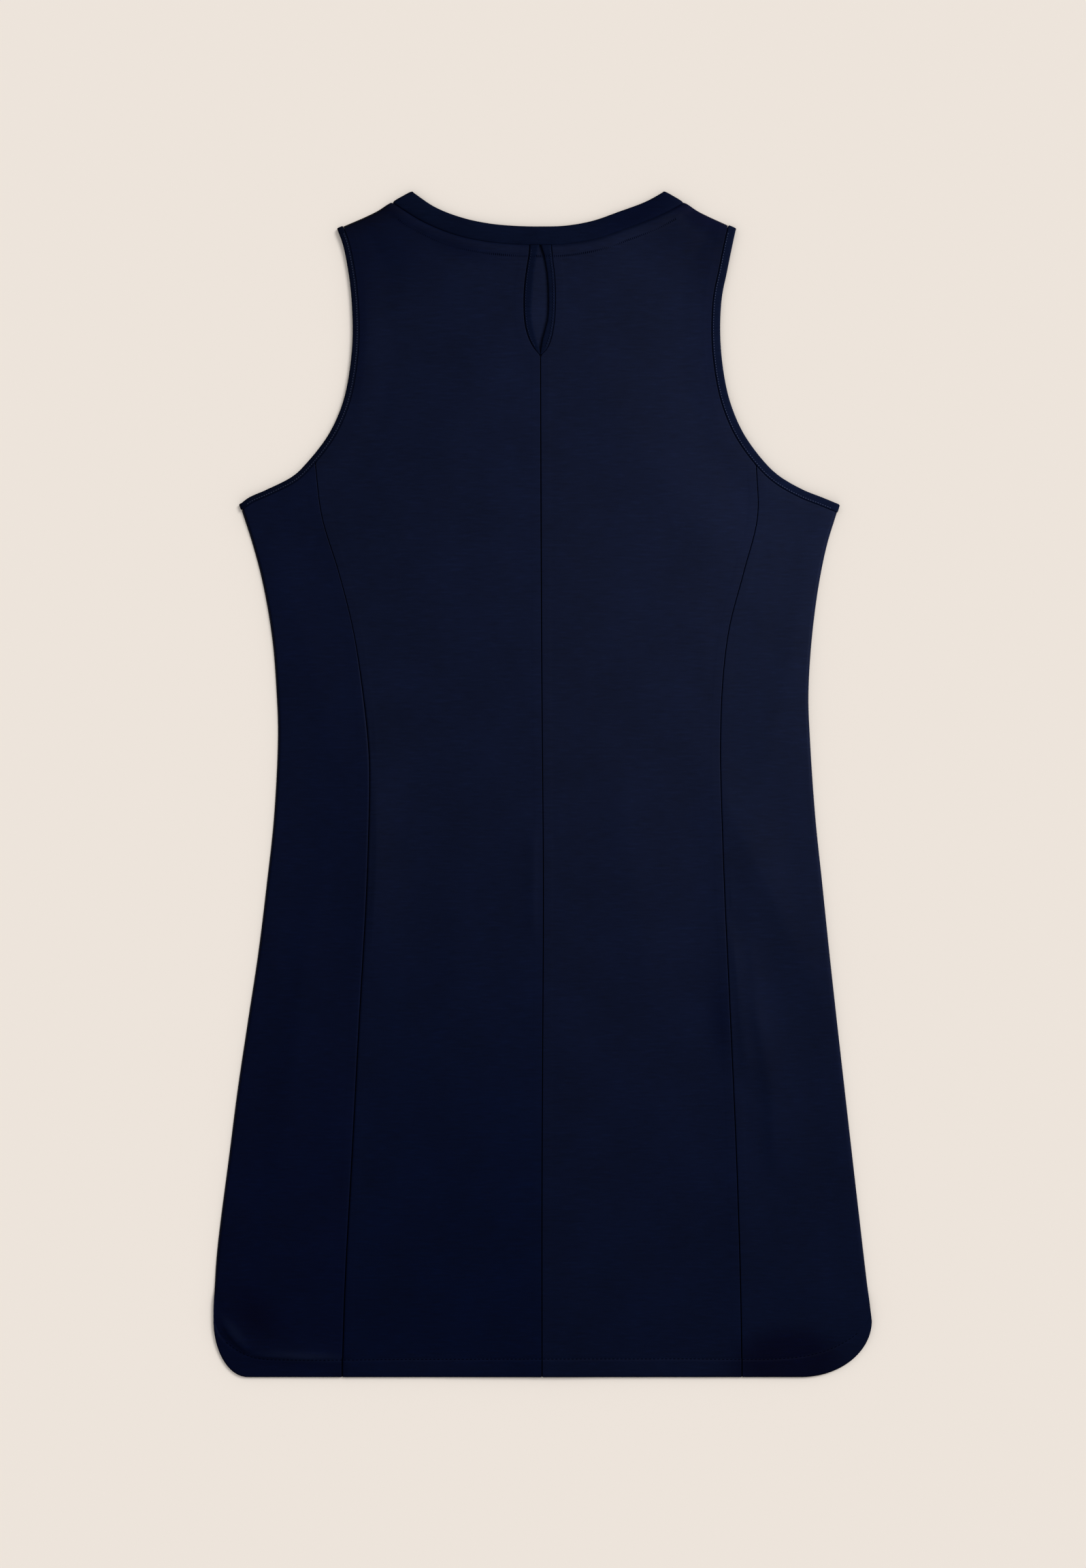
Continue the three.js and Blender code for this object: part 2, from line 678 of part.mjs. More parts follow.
// A band that runs round an opening: along the back's edge, over a fold, and back along the front's edge.
// backEdge and frontEdge share their ends. frontAcross and backAcross lead from each edge to the band's seam.
function loopedBand({ backEdge, frontEdge, backAcross, frontAcross }) {
  const shares = bandShares(backEdge);
  const trimmed = shares[0];
  const frontHeight = FOLDED / 2;
  const section = (edge, across, share, middle, normal) => {
    const start = edge(share);
    const height = middle(start);
    const points = [0, 0.5, 1].map((part) => start.clone().addScaledVector(across(share), part).setZ(height));
    return { points, normal };
  };
  const backMiddle = (point) => contact(point) + FOLDED / 2 + lift(point);
  const backSections = shares.map((share) => section(backEdge, backAcross, share, backMiddle, UP));
  const frontSections = [...shares]
    .reverse()
    .map((share) => section(frontEdge, frontAcross, share, () => frontHeight, UP.clone().negate()));

  const over = (from, to, outwards) =>
    [1, 2, 3, 4].map((step) => {
      const turn = (Math.PI * step) / 5;
      const points = from.points.map((point, index) => {
        const radius = (point.z - frontHeight) / 2;
        const moved = point.clone().lerp(to.points[index], step / 5);
        return moved
          .setZ(frontHeight + radius + radius * Math.cos(turn))
          .addScaledVector(outwards, radius * Math.sin(turn));
      });
      const normal = UP.clone().multiplyScalar(Math.cos(turn)).addScaledVector(outwards, Math.sin(turn));
      return { points, normal };
    });
  const squareTo = (across, away) => {
    const square = new THREE.Vector3(-across.y, across.x, 0).normalize();
    return square.dot(away) < 0 ? square.negate() : square;
  };
  const endWay = squareTo(backAcross(1), backEdge(1).sub(backEdge(1 - trimmed)));
  const startWay = squareTo(backAcross(0), backEdge(0).sub(backEdge(trimmed)));
  const last = backSections[backSections.length - 1];
  const first = backSections[0];
  const sections = [
    ...backSections,
    ...over(last, frontSections[0], endWay),
    ...frontSections,
    ...over(first, frontSections[frontSections.length - 1], startWay).reverse(),
  ];
  const offset = (sign) =>
    sections.map(({ points, normal }) =>
      points.map((point) => point.clone().addScaledVector(normal, (sign * FOLDED) / 2)),
    );
  return wall(offset(1), offset(-1), true);
}

function neckband() {
  return loopedBand({
    backEdge: backNeck,
    frontEdge: frontNeck,
    backAcross: acrossBackNeck,
    frontAcross: acrossFrontNeck,
  });
}

function armholeBinding(side) {
  return loopedBand({
    backEdge: armholes[side],
    frontEdge: frontArmholes[side],
    backAcross: backArmholeWays[side],
    frontAcross: frontArmholeWays[side],
  });
}

// The binding on one edge of the keyhole, from the points of the panel that it is sewn to.
function keyholeBinding(side) {
  const sign = side === "left" ? -1 : 1;
  const { inner, rows } = centreEdges(side);
  const opening = pathThrough(column(KEYHOLE, `${side}Edge`));
  const foot = KEYHOLE[0].up - LENGTH / 2;
  const top = inner(1).y;
  const grid = rows
    .map((share) => inner(share))
    .filter(({ y }) => y > foot + KEYHOLE_FOOT && y < top - 1)
    .map((seam) => {
      const edge = opening((seam.y - foot) / (top - foot));
      const width = Math.max(sign * (seam.x - edge.x) - SEAM, KEYHOLE_FOOT_WIDTH);
      const start = seam.x - SEAM * sign;
      const across = [0, 0.5, 1].map((part) => new THREE.Vector3(start - sign * width * part, seam.y, 0));
      return side === "left" ? across : across.reverse();
    });
  grid.flat().forEach((point) => point.setZ(contact(point) + FOLDED / 2 + lift(point)));
  return wallOn(
    grid,
    grid.map(() => FOLDED),
  );
}

function piece(name, geometry, material) {
  const mesh = new THREE.Mesh(geometry, material);
  mesh.name = name;
  return mesh;
}

const dress = new THREE.Group();
dress.add(
  piece("front", front(), jersey),
  piece("back_center_left", centrePanel("left"), jersey),
  piece("back_center_right", centrePanel("right"), jersey),
  piece("back_side_left", sidePanel("left"), jersey),
  piece("back_side_right", sidePanel("right"), jersey),
  piece("neckband", neckband(), trimJersey),
  piece("armhole_binding_left", armholeBinding("left"), trimJersey),
  piece("armhole_binding_right", armholeBinding("right"), trimJersey),
  piece("keyhole_binding_left", keyholeBinding("left"), trimJersey),
  piece("keyhole_binding_right", keyholeBinding("right"), trimJersey),
);

export default dress;
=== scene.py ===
"""The finished look of a sleeveless jersey dress that lies flat with its back up.

The cloth is worked out in millimetres on the flat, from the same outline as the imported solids,
and becomes metres where a mesh is made. "Across" runs to the right as seen from above, "up"
from the hem edge to the neck, and "height" is above the surface that the dress lies on.
"""

import logging
import math
from dataclasses import dataclass
from enum import Enum
from functools import cached_property
from typing import Callable, Sequence

import bmesh
import bpy
import numpy as np
from mathutils import Matrix, Vector, noise


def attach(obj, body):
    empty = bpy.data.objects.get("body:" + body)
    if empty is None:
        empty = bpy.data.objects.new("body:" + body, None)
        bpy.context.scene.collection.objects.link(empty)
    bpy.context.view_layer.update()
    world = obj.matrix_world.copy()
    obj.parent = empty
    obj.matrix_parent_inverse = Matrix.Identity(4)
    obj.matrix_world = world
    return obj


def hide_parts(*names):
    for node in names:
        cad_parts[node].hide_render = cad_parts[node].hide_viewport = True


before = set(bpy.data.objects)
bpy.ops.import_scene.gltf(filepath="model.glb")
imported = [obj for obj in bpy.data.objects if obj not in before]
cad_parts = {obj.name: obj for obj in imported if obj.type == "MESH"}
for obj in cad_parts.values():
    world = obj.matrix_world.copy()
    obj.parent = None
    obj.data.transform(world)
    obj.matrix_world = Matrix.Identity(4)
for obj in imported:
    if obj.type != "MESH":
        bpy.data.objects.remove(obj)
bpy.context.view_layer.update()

log = logging.getLogger("dress")

MM = 0.001
LENGTH = 905.0  # hem edge to neck point
PIXEL = 0.52  # one pixel of the photograph on the dress
PHOTO_HEIGHT = 2304  # pixels


class Side(Enum):
    """A side of the dress, as seen from above."""

    LEFT = -1
    RIGHT = 1

    @property
    def word(self) -> str:
        """The side's name in lower case."""
        return self.name.lower()


@dataclass(frozen=True)
class Girth:
    """Where two mirrored lines lie at one height above the hem edge."""

    up: float
    left: float
    right: float


@dataclass(frozen=True)
class Spot:
    """A point on the flat."""

    across: float
    up: float


@dataclass(frozen=True)
class KeyholeRow:
    """The keyhole at one height: the seams of its two bindings, and the opening between them."""

    up: float
    left_seam: float
    left_edge: float
    right_edge: float
    right_seam: float


@dataclass(frozen=True)
class Fold:
    """A soft ridge. lean turns it to the left of straight up, in degrees."""

    across: float
    up: float
    lean: float
    length: float
    width: float
    height: float


@dataclass(frozen=True)
class Crease:
    """A ridge along a line, with a fall of its own on each side of it."""

    spots: tuple[Spot, ...]
    height: float
    left_width: float
    right_width: float
    fade: float


SIDES = (
    Girth(up=43, left=-251.25, right=251.25),
    Girth(up=64, left=-251.0, right=248.7),
    Girth(up=90, left=-249.2, right=245.6),
    Girth(up=116, left=-246.4, right=242.6),
    Girth(up=168, left=-239.6, right=236.6),
    Girth(up=220, left=-232.9, right=230.7),
    Girth(up=272, left=-225.1, right=224.8),
    Girth(up=324, left=-217.2, right=219.1),
    Girth(up=376, left=-210.8, right=213.7),
    Girth(up=428, left=-205.2, right=208.3),
    Girth(up=490, left=-202.2, right=204.1),
    Girth(up=521, left=-203.2, right=203.1),
    Girth(up=563, left=-206.5, right=205.6),
    Girth(up=605, left=-213.6, right=211.0),
    Girth(up=636, left=-221.6, right=217.4),
    Girth(up=666, left=-231.3, right=226.6),
)
ARMHOLES = (
    Girth(up=666, left=-231.3, right=226.6),
    Girth(up=671.4, left=-224.2, right=213.6),
    Girth(up=677.4, left=-210.8, right=198.7),
    Girth(up=687.9, left=-190.5, right=180.6),
    Girth(up=698.3, left=-179.7, right=169.5),
    Girth(up=719.1, left=-163.7, right=154.1),
    Girth(up=739.9, left=-153.9, right=144.6),
    Girth(up=760.7, left=-148.6, right=139.2),
    Girth(up=791.9, left=-145.2, right=135.7),
    Girth(up=823.1, left=-146.0, right=136.7),
    Girth(up=843.9, left=-148.4, right=140.8),
    Girth(up=864.7, left=-152.6, right=145.0),
    Girth(up=876.6, left=-157.0, right=147.6),
)
SHAPED_SEAMS = (
    Girth(up=0, left=-153.1, right=152.1),
    Girth(up=64, left=-151.1, right=151.1),
    Girth(up=168, left=-145.6, right=147.9),
    Girth(up=272, left=-140.1, right=143.3),
    Girth(up=376, left=-134.2, right=138.6),
    Girth(up=454, left=-132.2, right=136.0),
    Girth(up=480, left=-132.9, right=135.6),
    Girth(up=532, left=-138.6, right=137.5),
    Girth(up=573, left=-145.3, right=142.7),
    Girth(up=615, left=-156.0, right=153.7),
    Girth(up=657, left=-168.7, right=164.1),
)
CENTRE_SEAM = (
    Spot(across=-0.5, up=0),
    Spot(across=-0.6, up=130),
    Spot(across=0.4, up=380),
    Spot(across=-0.9, up=560),
    Spot(across=-1.7, up=780),
)
KEYHOLE = (
    KeyholeRow(up=780, left_seam=-1.9, left_edge=-1.8, right_edge=-1.6, right_seam=-1.5),
    KeyholeRow(up=785, left_seam=-6.2, left_edge=-2.6, right_edge=-1.3, right_seam=3.2),
    KeyholeRow(up=791.5, left_seam=-9.9, left_edge=-4.6, right_edge=-0.3, right_seam=6.0),
    KeyholeRow(up=799, left_seam=-12.5, left_edge=-6.6, right_edge=1.7, right_seam=7.8),
    KeyholeRow(up=808, left_seam=-14.0, left_edge=-8.1, right_edge=3.9, right_seam=9.0),
    KeyholeRow(up=818, left_seam=-14.4, left_edge=-8.3, right_edge=4.5, right_seam=9.6),
    KeyholeRow(up=831, left_seam=-14.1, left_edge=-7.4, right_edge=4.3, right_seam=9.6),
    KeyholeRow(up=843, left_seam=-12.7, left_edge=-6.4, right_edge=3.4, right_seam=8.8),
    KeyholeRow(up=852, left_seam=-11.3, left_edge=-5.2, right_edge=1.9, right_seam=7.7),
    KeyholeRow(up=857, left_seam=-10.5, left_edge=-4.2, right_edge=0.9, right_seam=7.2),
    KeyholeRow(up=864, left_seam=-9.9, left_edge=-2.6, right_edge=-1.4, right_seam=6.5),
)
BACK_NECK = (
    Spot(across=-100, up=905),
    Spot(across=-82, up=893),
    Spot(across=-61, up=884.9),
    Spot(across=-40, up=880.5),
    Spot(across=-19.5, up=878.7),
    Spot(across=-1.3, up=878.3),
    Spot(across=17, up=878.9),
    Spot(across=37.7, up=882.5),
    Spot(across=58.5, up=889.7),
    Spot(across=79.3, up=897.5),
    Spot(across=93, up=905),
)
FRONT_NECK = (
    Spot(across=-100, up=905),
    Spot(across=-85, up=884),
    Spot(across=-60, up=869.5),
    Spot(across=-30, up=862.5),
    Spot(across=-3, up=861),
    Spot(across=24, up=862.5),
    Spot(across=54, up=869.5),
    Spot(across=79, up=884),
    Spot(across=93, up=905),
)
LEFT_SHOULDER = (Spot(across=-157, up=876.6), Spot(across=-131, up=888), Spot(across=-100, up=905))
RIGHT_SHOULDER = (Spot(across=147.6, up=876.6), Spot(across=121, up=889), Spot(across=93, up=905))

FOLDS = (
    Fold(across=0, up=150, lean=0, length=190, width=70, height=1.9),
    Fold(across=-1, up=470, lean=0, length=150, width=46, height=0.9),
    Fold(across=-134, up=392, lean=-1, length=92, width=25, height=2.3),
    Fold(across=-151, up=150, lean=2, length=110, width=30, height=1.2),
    Fold(across=142, up=275, lean=3, length=78, width=12, height=1.9),
    Fold(across=163, up=288, lean=5, length=44, width=10, height=1.1),
    Fold(across=149, up=120, lean=1, length=74, width=18, height=1.2),
    Fold(across=172, up=372, lean=26, length=96, width=26, height=2.2),
    Fold(across=182, up=520, lean=-12, length=84, width=30, height=1.4),
    Fold(across=70, up=372, lean=7, length=88, width=24, height=0.9),
    Fold(across=-72, up=300, lean=-9, length=104, width=28, height=0.8),
    Fold(across=-190, up=250, lean=-8, length=120, width=20, height=1.3),
    Fold(across=-182, up=560, lean=16, length=80, width=24, height=1.2),
    Fold(across=84, up=700, lean=34, length=92, width=34, height=1.0),
    Fold(across=-70, up=720, lean=-28, length=84, width=38, height=0.7),
    Fold(across=205, up=66, lean=62, length=50, width=30, height=1.0),
    Fold(across=-192, up=84, lean=-58, length=60, width=30, height=1.9),
)
CREASES = (
    Crease(  # beside the shaped seam on the right
        spots=(Spot(across=143.2, up=350), Spot(across=151.0, up=282), Spot(across=157.5, up=215)),
        height=1.5,
        left_width=6.0,
        right_width=13.0,
        fade=40.0,
    ),
    Crease(  # outside it
        spots=(Spot(across=158.0, up=300), Spot(across=172.9, up=227), Spot(across=177.0, up=140)),
        height=1.1,
        left_width=6.0,
        right_width=15.0,
        fade=45.0,
    ),
    Crease(  # over the hem at the left corner
        spots=(
            Spot(across=-246, up=50),
            Spot(across=-238, up=32),
            Spot(across=-222, up=19.0),
            Spot(across=-200, up=15.5),
            Spot(across=-150, up=14.0),
        ),
        height=1.6,
        left_width=3.0,
        right_width=9.0,
        fade=26.0,
    ),
    Crease(  # beside the middle seam
        spots=(Spot(across=-7.0, up=425), Spot(across=-7.4, up=330)),
        height=0.5,
        left_width=6.0,
        right_width=3.5,
        fade=25.0,
    ),
    Crease(  # a hollow inside the right shoulder
        spots=(Spot(across=103, up=884), Spot(across=121, up=874), Spot(across=138, up=865)),
        height=-0.8,
        left_width=6.0,
        right_width=6.0,
        fade=14.0,
    ),
    Crease(  # down the left shaped seam
        spots=(Spot(across=-129, up=470), Spot(across=-126.5, up=400), Spot(across=-131, up=320)),
        height=0.9,
        left_width=5.0,
        right_width=15.0,
        fade=40.0,
    ),
)
HEM_LINE = (
    Spot(across=-251.5, up=46),
    Spot(across=-246.0, up=31.6),
    Spot(across=-233.0, up=20.5),
    Spot(across=-218.7, up=14.7),
    Spot(across=-190.0, up=13.3),
    Spot(across=-100.0, up=13.6),
    Spot(across=0.0, up=14.0),
    Spot(across=100.0, up=14.0),
    Spot(across=188.0, up=14.6),
    Spot(across=214.0, up=19.5),
    Spot(across=234.0, up=29.0),
    Spot(across=246.0, up=40.0),
    Spot(across=251.5, up=52),
)

SMOOTH = 24  # points to a stretch of a spline
FINE = 220  # points that stand for a part of a path
NUDGE = 1e-3  # share of a path used to find its direction
TINY = 1e-6  # keeps a length from being 0


def smoothstep(value: np.ndarray, low: float, high: float) -> np.ndarray:
    """Rise smoothly from 0 at low to 1 at high.

    Args:
        value: Where to read the curve.
        low: Where it starts to rise.
        high: Where it has risen.

    Returns:
        The curve's values, from 0 to 1.
    """
    share = np.clip((value - low) / (high - low), 0.0, 1.0)
    return share * share * (3.0 - 2.0 * share)


def near(distance: np.ndarray, flat: float, fade: float) -> np.ndarray:
    """Stay at 1 for a first stretch and then fade to 0.

    Args:
        distance: How far away the points are.
        flat: Length of the first stretch.
        fade: Length over which it fades.

    Returns:
        Strengths from 1 to 0.
    """
    return 1.0 - smoothstep(distance, flat, flat + fade)


@dataclass(frozen=True, eq=False)
class Path:
    """A line on the flat, followed by shares of its length, from 0 to 1."""

    points: np.ndarray

    @cached_property
    def along(self) -> np.ndarray:
        """The distance of each point from the start."""
        steps = np.linalg.norm(np.diff(self.points, axis=0), axis=1)
        return np.concatenate(([0.0], np.cumsum(steps)))

    @property
    def length(self) -> float:
        """The whole length."""
        return float(self.along[-1])

    def at(self, share: np.ndarray | float) -> np.ndarray:
        """Find the points at some shares of the length.

        Args:
            share: One share or an array of them.

        Returns:
            One point for each share, in the last axis.
        """
        distance = np.clip(share, 0.0, 1.0) * self.length
        across, up = (np.interp(distance, self.along, values) for values in self.points.T)
        return np.stack((across, up), axis=-1)

    def part(self, start: float, end: float) -> "Path":
        """Cut out the stretch between two shares, backwards if start is the larger.

        Args:
            start: Share at which the stretch starts.
            end: Share at which it ends.

        Returns:
            The stretch.
        """
        return Path(self.at(np.linspace(start, end, FINE)))

    def backwards(self) -> "Path":
        """The same line, followed from its end."""
        return Path(self.points[::-1])

    def then(self, other: "Path") -> "Path":
        """This line with another one joined to its end."""
        return Path(np.vstack((self.points, other.points[1:])))

    def inwards(self, share: np.ndarray | float) -> np.ndarray:
        """Find the way into the cloth from an edge that runs clockwise round the dress.

        Args:
            share: One share or an array of them.

        Returns:
            A unit vector for each share.
        """
        share = np.asarray(share, float)
        ahead = self.at(np.minimum(share + NUDGE, 1.0)) - self.at(np.maximum(share - NUDGE, 0.0))
        ahead /= np.linalg.norm(ahead, axis=-1, keepdims=True)
        return np.stack((ahead[..., 1], -ahead[..., 0]), axis=-1)

    def distance(self, points: np.ndarray) -> np.ndarray:
        """Measure how far points are from the line.

        Args:
            points: An array with one point in each row.

        Returns:
            One distance for each row.
        """
        line = self.at(np.linspace(0.0, 1.0, FINE))
        start, step = line[:-1], np.diff(line, axis=0)
        square = np.maximum((step**2).sum(axis=1), TINY**2)
        best = np.full(len(points), np.inf)
        for first, way, size in zip(start, step, square):
            away = points - first
            share = np.clip(away @ way / size, 0.0, 1.0)
            best = np.minimum(best, ((away - share[:, None] * way) ** 2).sum(axis=1))
        return np.sqrt(best)


def spline(spots: Sequence[Spot]) -> Path:
    """Run a smooth line through some points.

    Args:
        spots: The points, in order.

    Returns:
        The centripetal Catmull-Rom line through them.
    """
    knots = np.array([(spot.across, spot.up) for spot in spots], float)
    knots = np.vstack((2 * knots[0] - knots[1], knots, 2 * knots[-1] - knots[-2]))
    share = np.linspace(0.0, 1.0, SMOOTH, endpoint=False)[:, None]
    pieces = []
    for before, first, second, after in zip(knots, knots[1:], knots[2:], knots[3:]):
        gap_0, gap, gap_2 = (
            math.sqrt(max(np.linalg.norm(end - start), TINY))
            for start, end in ((before, first), (first, second), (second, after))
        )
        leave = ((first - before) / gap_0 - (second - before) / (gap_0 + gap)) * gap + (second - first)
        arrive = ((after - second) / gap_2 - (after - first) / (gap + gap_2)) * gap + (second - first)
        bend_2 = 3 * (second - first) - 2 * leave - arrive
        bend_3 = 2 * (first - second) + leave + arrive
        pieces.append(first + share * leave + share**2 * bend_2 + share**3 * bend_3)
    pieces.append(knots[-2][None])
    return Path(np.vstack(pieces))


def column(rows: Sequence[Girth], side: Side) -> list[Spot]:
    """The points of one side of a table."""
    return [Spot(getattr(row, side.word), row.up) for row in rows]


@dataclass(frozen=True, eq=False)
class Trim:
    """A hem, band or binding along an edge.

    Its seam lies square to the edge at its depth, and turns towards the folds that it meets at
    its two ends. It turns over a stretch of a few times its width, and of a share of the edge at
    most.
    """

    edge: Path
    depth: float
    at_start: np.ndarray
    at_end: np.ndarray
    turning: float = 2.2
    most_turning: float = 0.3

    def across(self, share: np.ndarray | float) -> np.ndarray:
        """Find the way from the edge to the seam.

        Args:
            share: Shares of the edge.

        Returns:
            A vector for each share, as long as the trim is deep there.
        """
        share = np.asarray(share, float)
        widest = max(self.depth, np.linalg.norm(self.at_start))
        turning = min(self.most_turning, self.turning * widest / self.edge.length)
        way = self.edge.inwards(share) * self.depth
        way = way + (self.at_start - way) * near(share, 0.0, turning)[..., None]
        return way + (self.at_end - way) * near(1.0 - share, 0.0, turning)[..., None]

    def seam_at(self, share: np.ndarray | float, beyond: float = 0.0) -> np.ndarray:
        """Find points on the seam, or beyond it.

        Args:
            share: Shares of the edge.
            beyond: How far past the seam the points lie.

        Returns:
            One point for each share.
        """
        way = self.across(share)
        reach = np.linalg.norm(way, axis=-1, keepdims=True)
        return self.edge.at(share) + way * (1.0 + beyond / reach)

    def seam(self, start: float = 0.0, end: float = 1.0, beyond: float = 0.0) -> Path:
        """The seam between two shares of the edge, or a line beyond it."""
        return Path(self.seam_at(np.linspace(start, end, FINE), beyond))


@dataclass(frozen=True)
class Pattern:
    """The cut of the dress: its edges, all clockwise, and its trims and seams."""

    half_width: float = 251.25
    slit: float = 43.0
    hem_above_slit: float = 12.0
    hem_depth: float = 14.0
    neckband_depth: float = 14.0
    neckband_at_shoulder: float = 17.0
    under_neckband: float = 0.15
    left_binding: float = 4.8
    right_binding: float = 6.5
    left_corner: float = 26.0
    right_corner: float = 54.0
    front_armhole_inset: float = 2.0
    left_seam_end: float = 0.26
    right_seam_end: float = 0.27

    @cached_property
    def sides(self) -> dict[Side, Path]:
        """The folded sides."""
        return {
            Side.LEFT: spline(column(SIDES, Side.LEFT)),
            Side.RIGHT: spline(column(SIDES, Side.RIGHT)).backwards(),
        }

    @cached_property
    def armholes(self) -> dict[Side, Path]:
        """The armhole edges of the back."""
        return {
            Side.LEFT: spline(column(ARMHOLES, Side.LEFT)),
            Side.RIGHT: spline(column(ARMHOLES, Side.RIGHT)).backwards(),
        }

    @cached_property
    def shoulders(self) -> dict[Side, Path]:
        """The shoulder folds."""
        return {Side.LEFT: spline(LEFT_SHOULDER), Side.RIGHT: spline(RIGHT_SHOULDER).backwards()}

    @cached_property
    def hem(self) -> Path:
        """The hem edge, from the right side round both corners to the left side."""
        angles = np.linspace(0.0, math.pi / 2, SMOOTH * 2)
        rise = self.slit * (1.0 - np.cos(angles))
        right = self.half_width - self.right_corner + self.right_corner * np.sin(angles)
        left = -self.half_width + self.left_corner - self.left_corner * np.sin(angles)
        start = np.stack((right, rise), axis=-1)[::-1]
        end = np.stack((left, rise), axis=-1)
        return Path(np.vstack((start, end)))

    @cached_property
    def hem_trim(self) -> Trim:
        """The turned hem."""
        return Trim(
            self.hem,
            self.hem_depth,
            self._towards(self.sides[Side.RIGHT].backwards(), self.hem_above_slit),
            self._towards(self.sides[Side.LEFT], self.hem_above_slit),
        )

    @cached_property
    def hem_line(self) -> Path:
        """The hem's stitch line, which runs out to the sides above the corners."""
        return spline(HEM_LINE)

    @cached_property
    def back_neck(self) -> Trim:
        """The back half of the neckband."""
        return self._neck(spline(BACK_NECK))

    @cached_property
    def front_neck(self) -> Trim:
        """The front half of the neckband."""
        return self._neck(spline(FRONT_NECK))

    @cached_property
    def back_armholes(self) -> dict[Side, Trim]:
        """The back halves of the armhole bindings."""
        return {side: self._armhole(self.armholes[side], side) for side in Side}

    @cached_property
    def front_armholes(self) -> dict[Side, Trim]:
        """The front halves of the armhole bindings, a little further in between their ends."""
        trims = {}
        for side in Side:
            share = np.linspace(0.0, 1.0, FINE)
            edge = self.armholes[side]
            inset = self.front_armhole_inset * np.sqrt(np.sin(math.pi * share).clip(0.0))
            moved = edge.at(share) + edge.inwards(share) * inset[:, None]
            trims[side] = self._armhole(Path(moved), side)
        return trims

    @cached_property
    def centre_seam(self) -> Path:
        """The seam down the middle of the back, from the hem edge up."""
        return spline(CENTRE_SEAM)

    @cached_property
    def shaped_seams(self) -> dict[Side, Path]:
        """The shaped seams of the back, from the hem edge to the armhole bindings."""
        seams = {}
        for side in Side:
            end = self.back_armholes[side].seam_at(self.seam_share(side))
            seams[side] = spline([*column(SHAPED_SEAMS, side), Spot(*end)])
        return seams

    def seam_share(self, side: Side) -> float:
        """The share of the armhole at which the shaped seam meets it."""
        return self.left_seam_end if side is Side.LEFT else 1.0 - self.right_seam_end

    def neck_line(self, start: float = 0.0, end: float = 1.0) -> Path:
        """The line just under the neckband at which the panels end."""
        return self.back_neck.seam(start, end, beyond=-self.under_neckband)

    def keyhole_seam(self, side: Side) -> Path:
        """The seam of one keyhole binding, from the foot to the neckband."""
        rows = [Spot(getattr(row, f"{side.word}_seam"), row.up) for row in KEYHOLE]
        band = self.neck_line().points
        top = np.interp(rows[-1].across, band[:, 0], band[:, 1])
        return spline([*rows[:-1], Spot(rows[-1].across, float(top))])

    def keyhole_edge(self, side: Side) -> Path:
        """The opening's edge on one side, from the foot to the neckband."""
        return spline([Spot(getattr(row, f"{side.word}_edge"), row.up) for row in KEYHOLE])

    def _towards(self, path: Path, length: float) -> np.ndarray:
        """A vector of a given length along the start of a path."""
        way = path.at(NUDGE * 5) - path.at(0.0)
        return way * (length / np.linalg.norm(way))

    def _neck(self, edge: Path) -> Trim:
        """A half of the neckband on its edge."""
        left = self._towards(self.shoulders[Side.LEFT].backwards(), self.neckband_at_shoulder)
        right = self._towards(self.shoulders[Side.RIGHT], self.neckband_at_shoulder)
        return Trim(edge, self.neckband_depth, left, right)

    def _armhole(self, edge: Path, side: Side) -> Trim:
        """A half of an armhole binding on its edge."""
        if side is Side.LEFT:
            width = self.left_binding
            underarm = self._towards(self.sides[side].backwards(), width)
            return Trim(edge, width, underarm, self._towards(self.shoulders[side], width))
        width = self.right_binding
        underarm = self._towards(self.sides[side], width)
        return Trim(edge, width, self._towards(self.shoulders[side].backwards(), width), underarm)


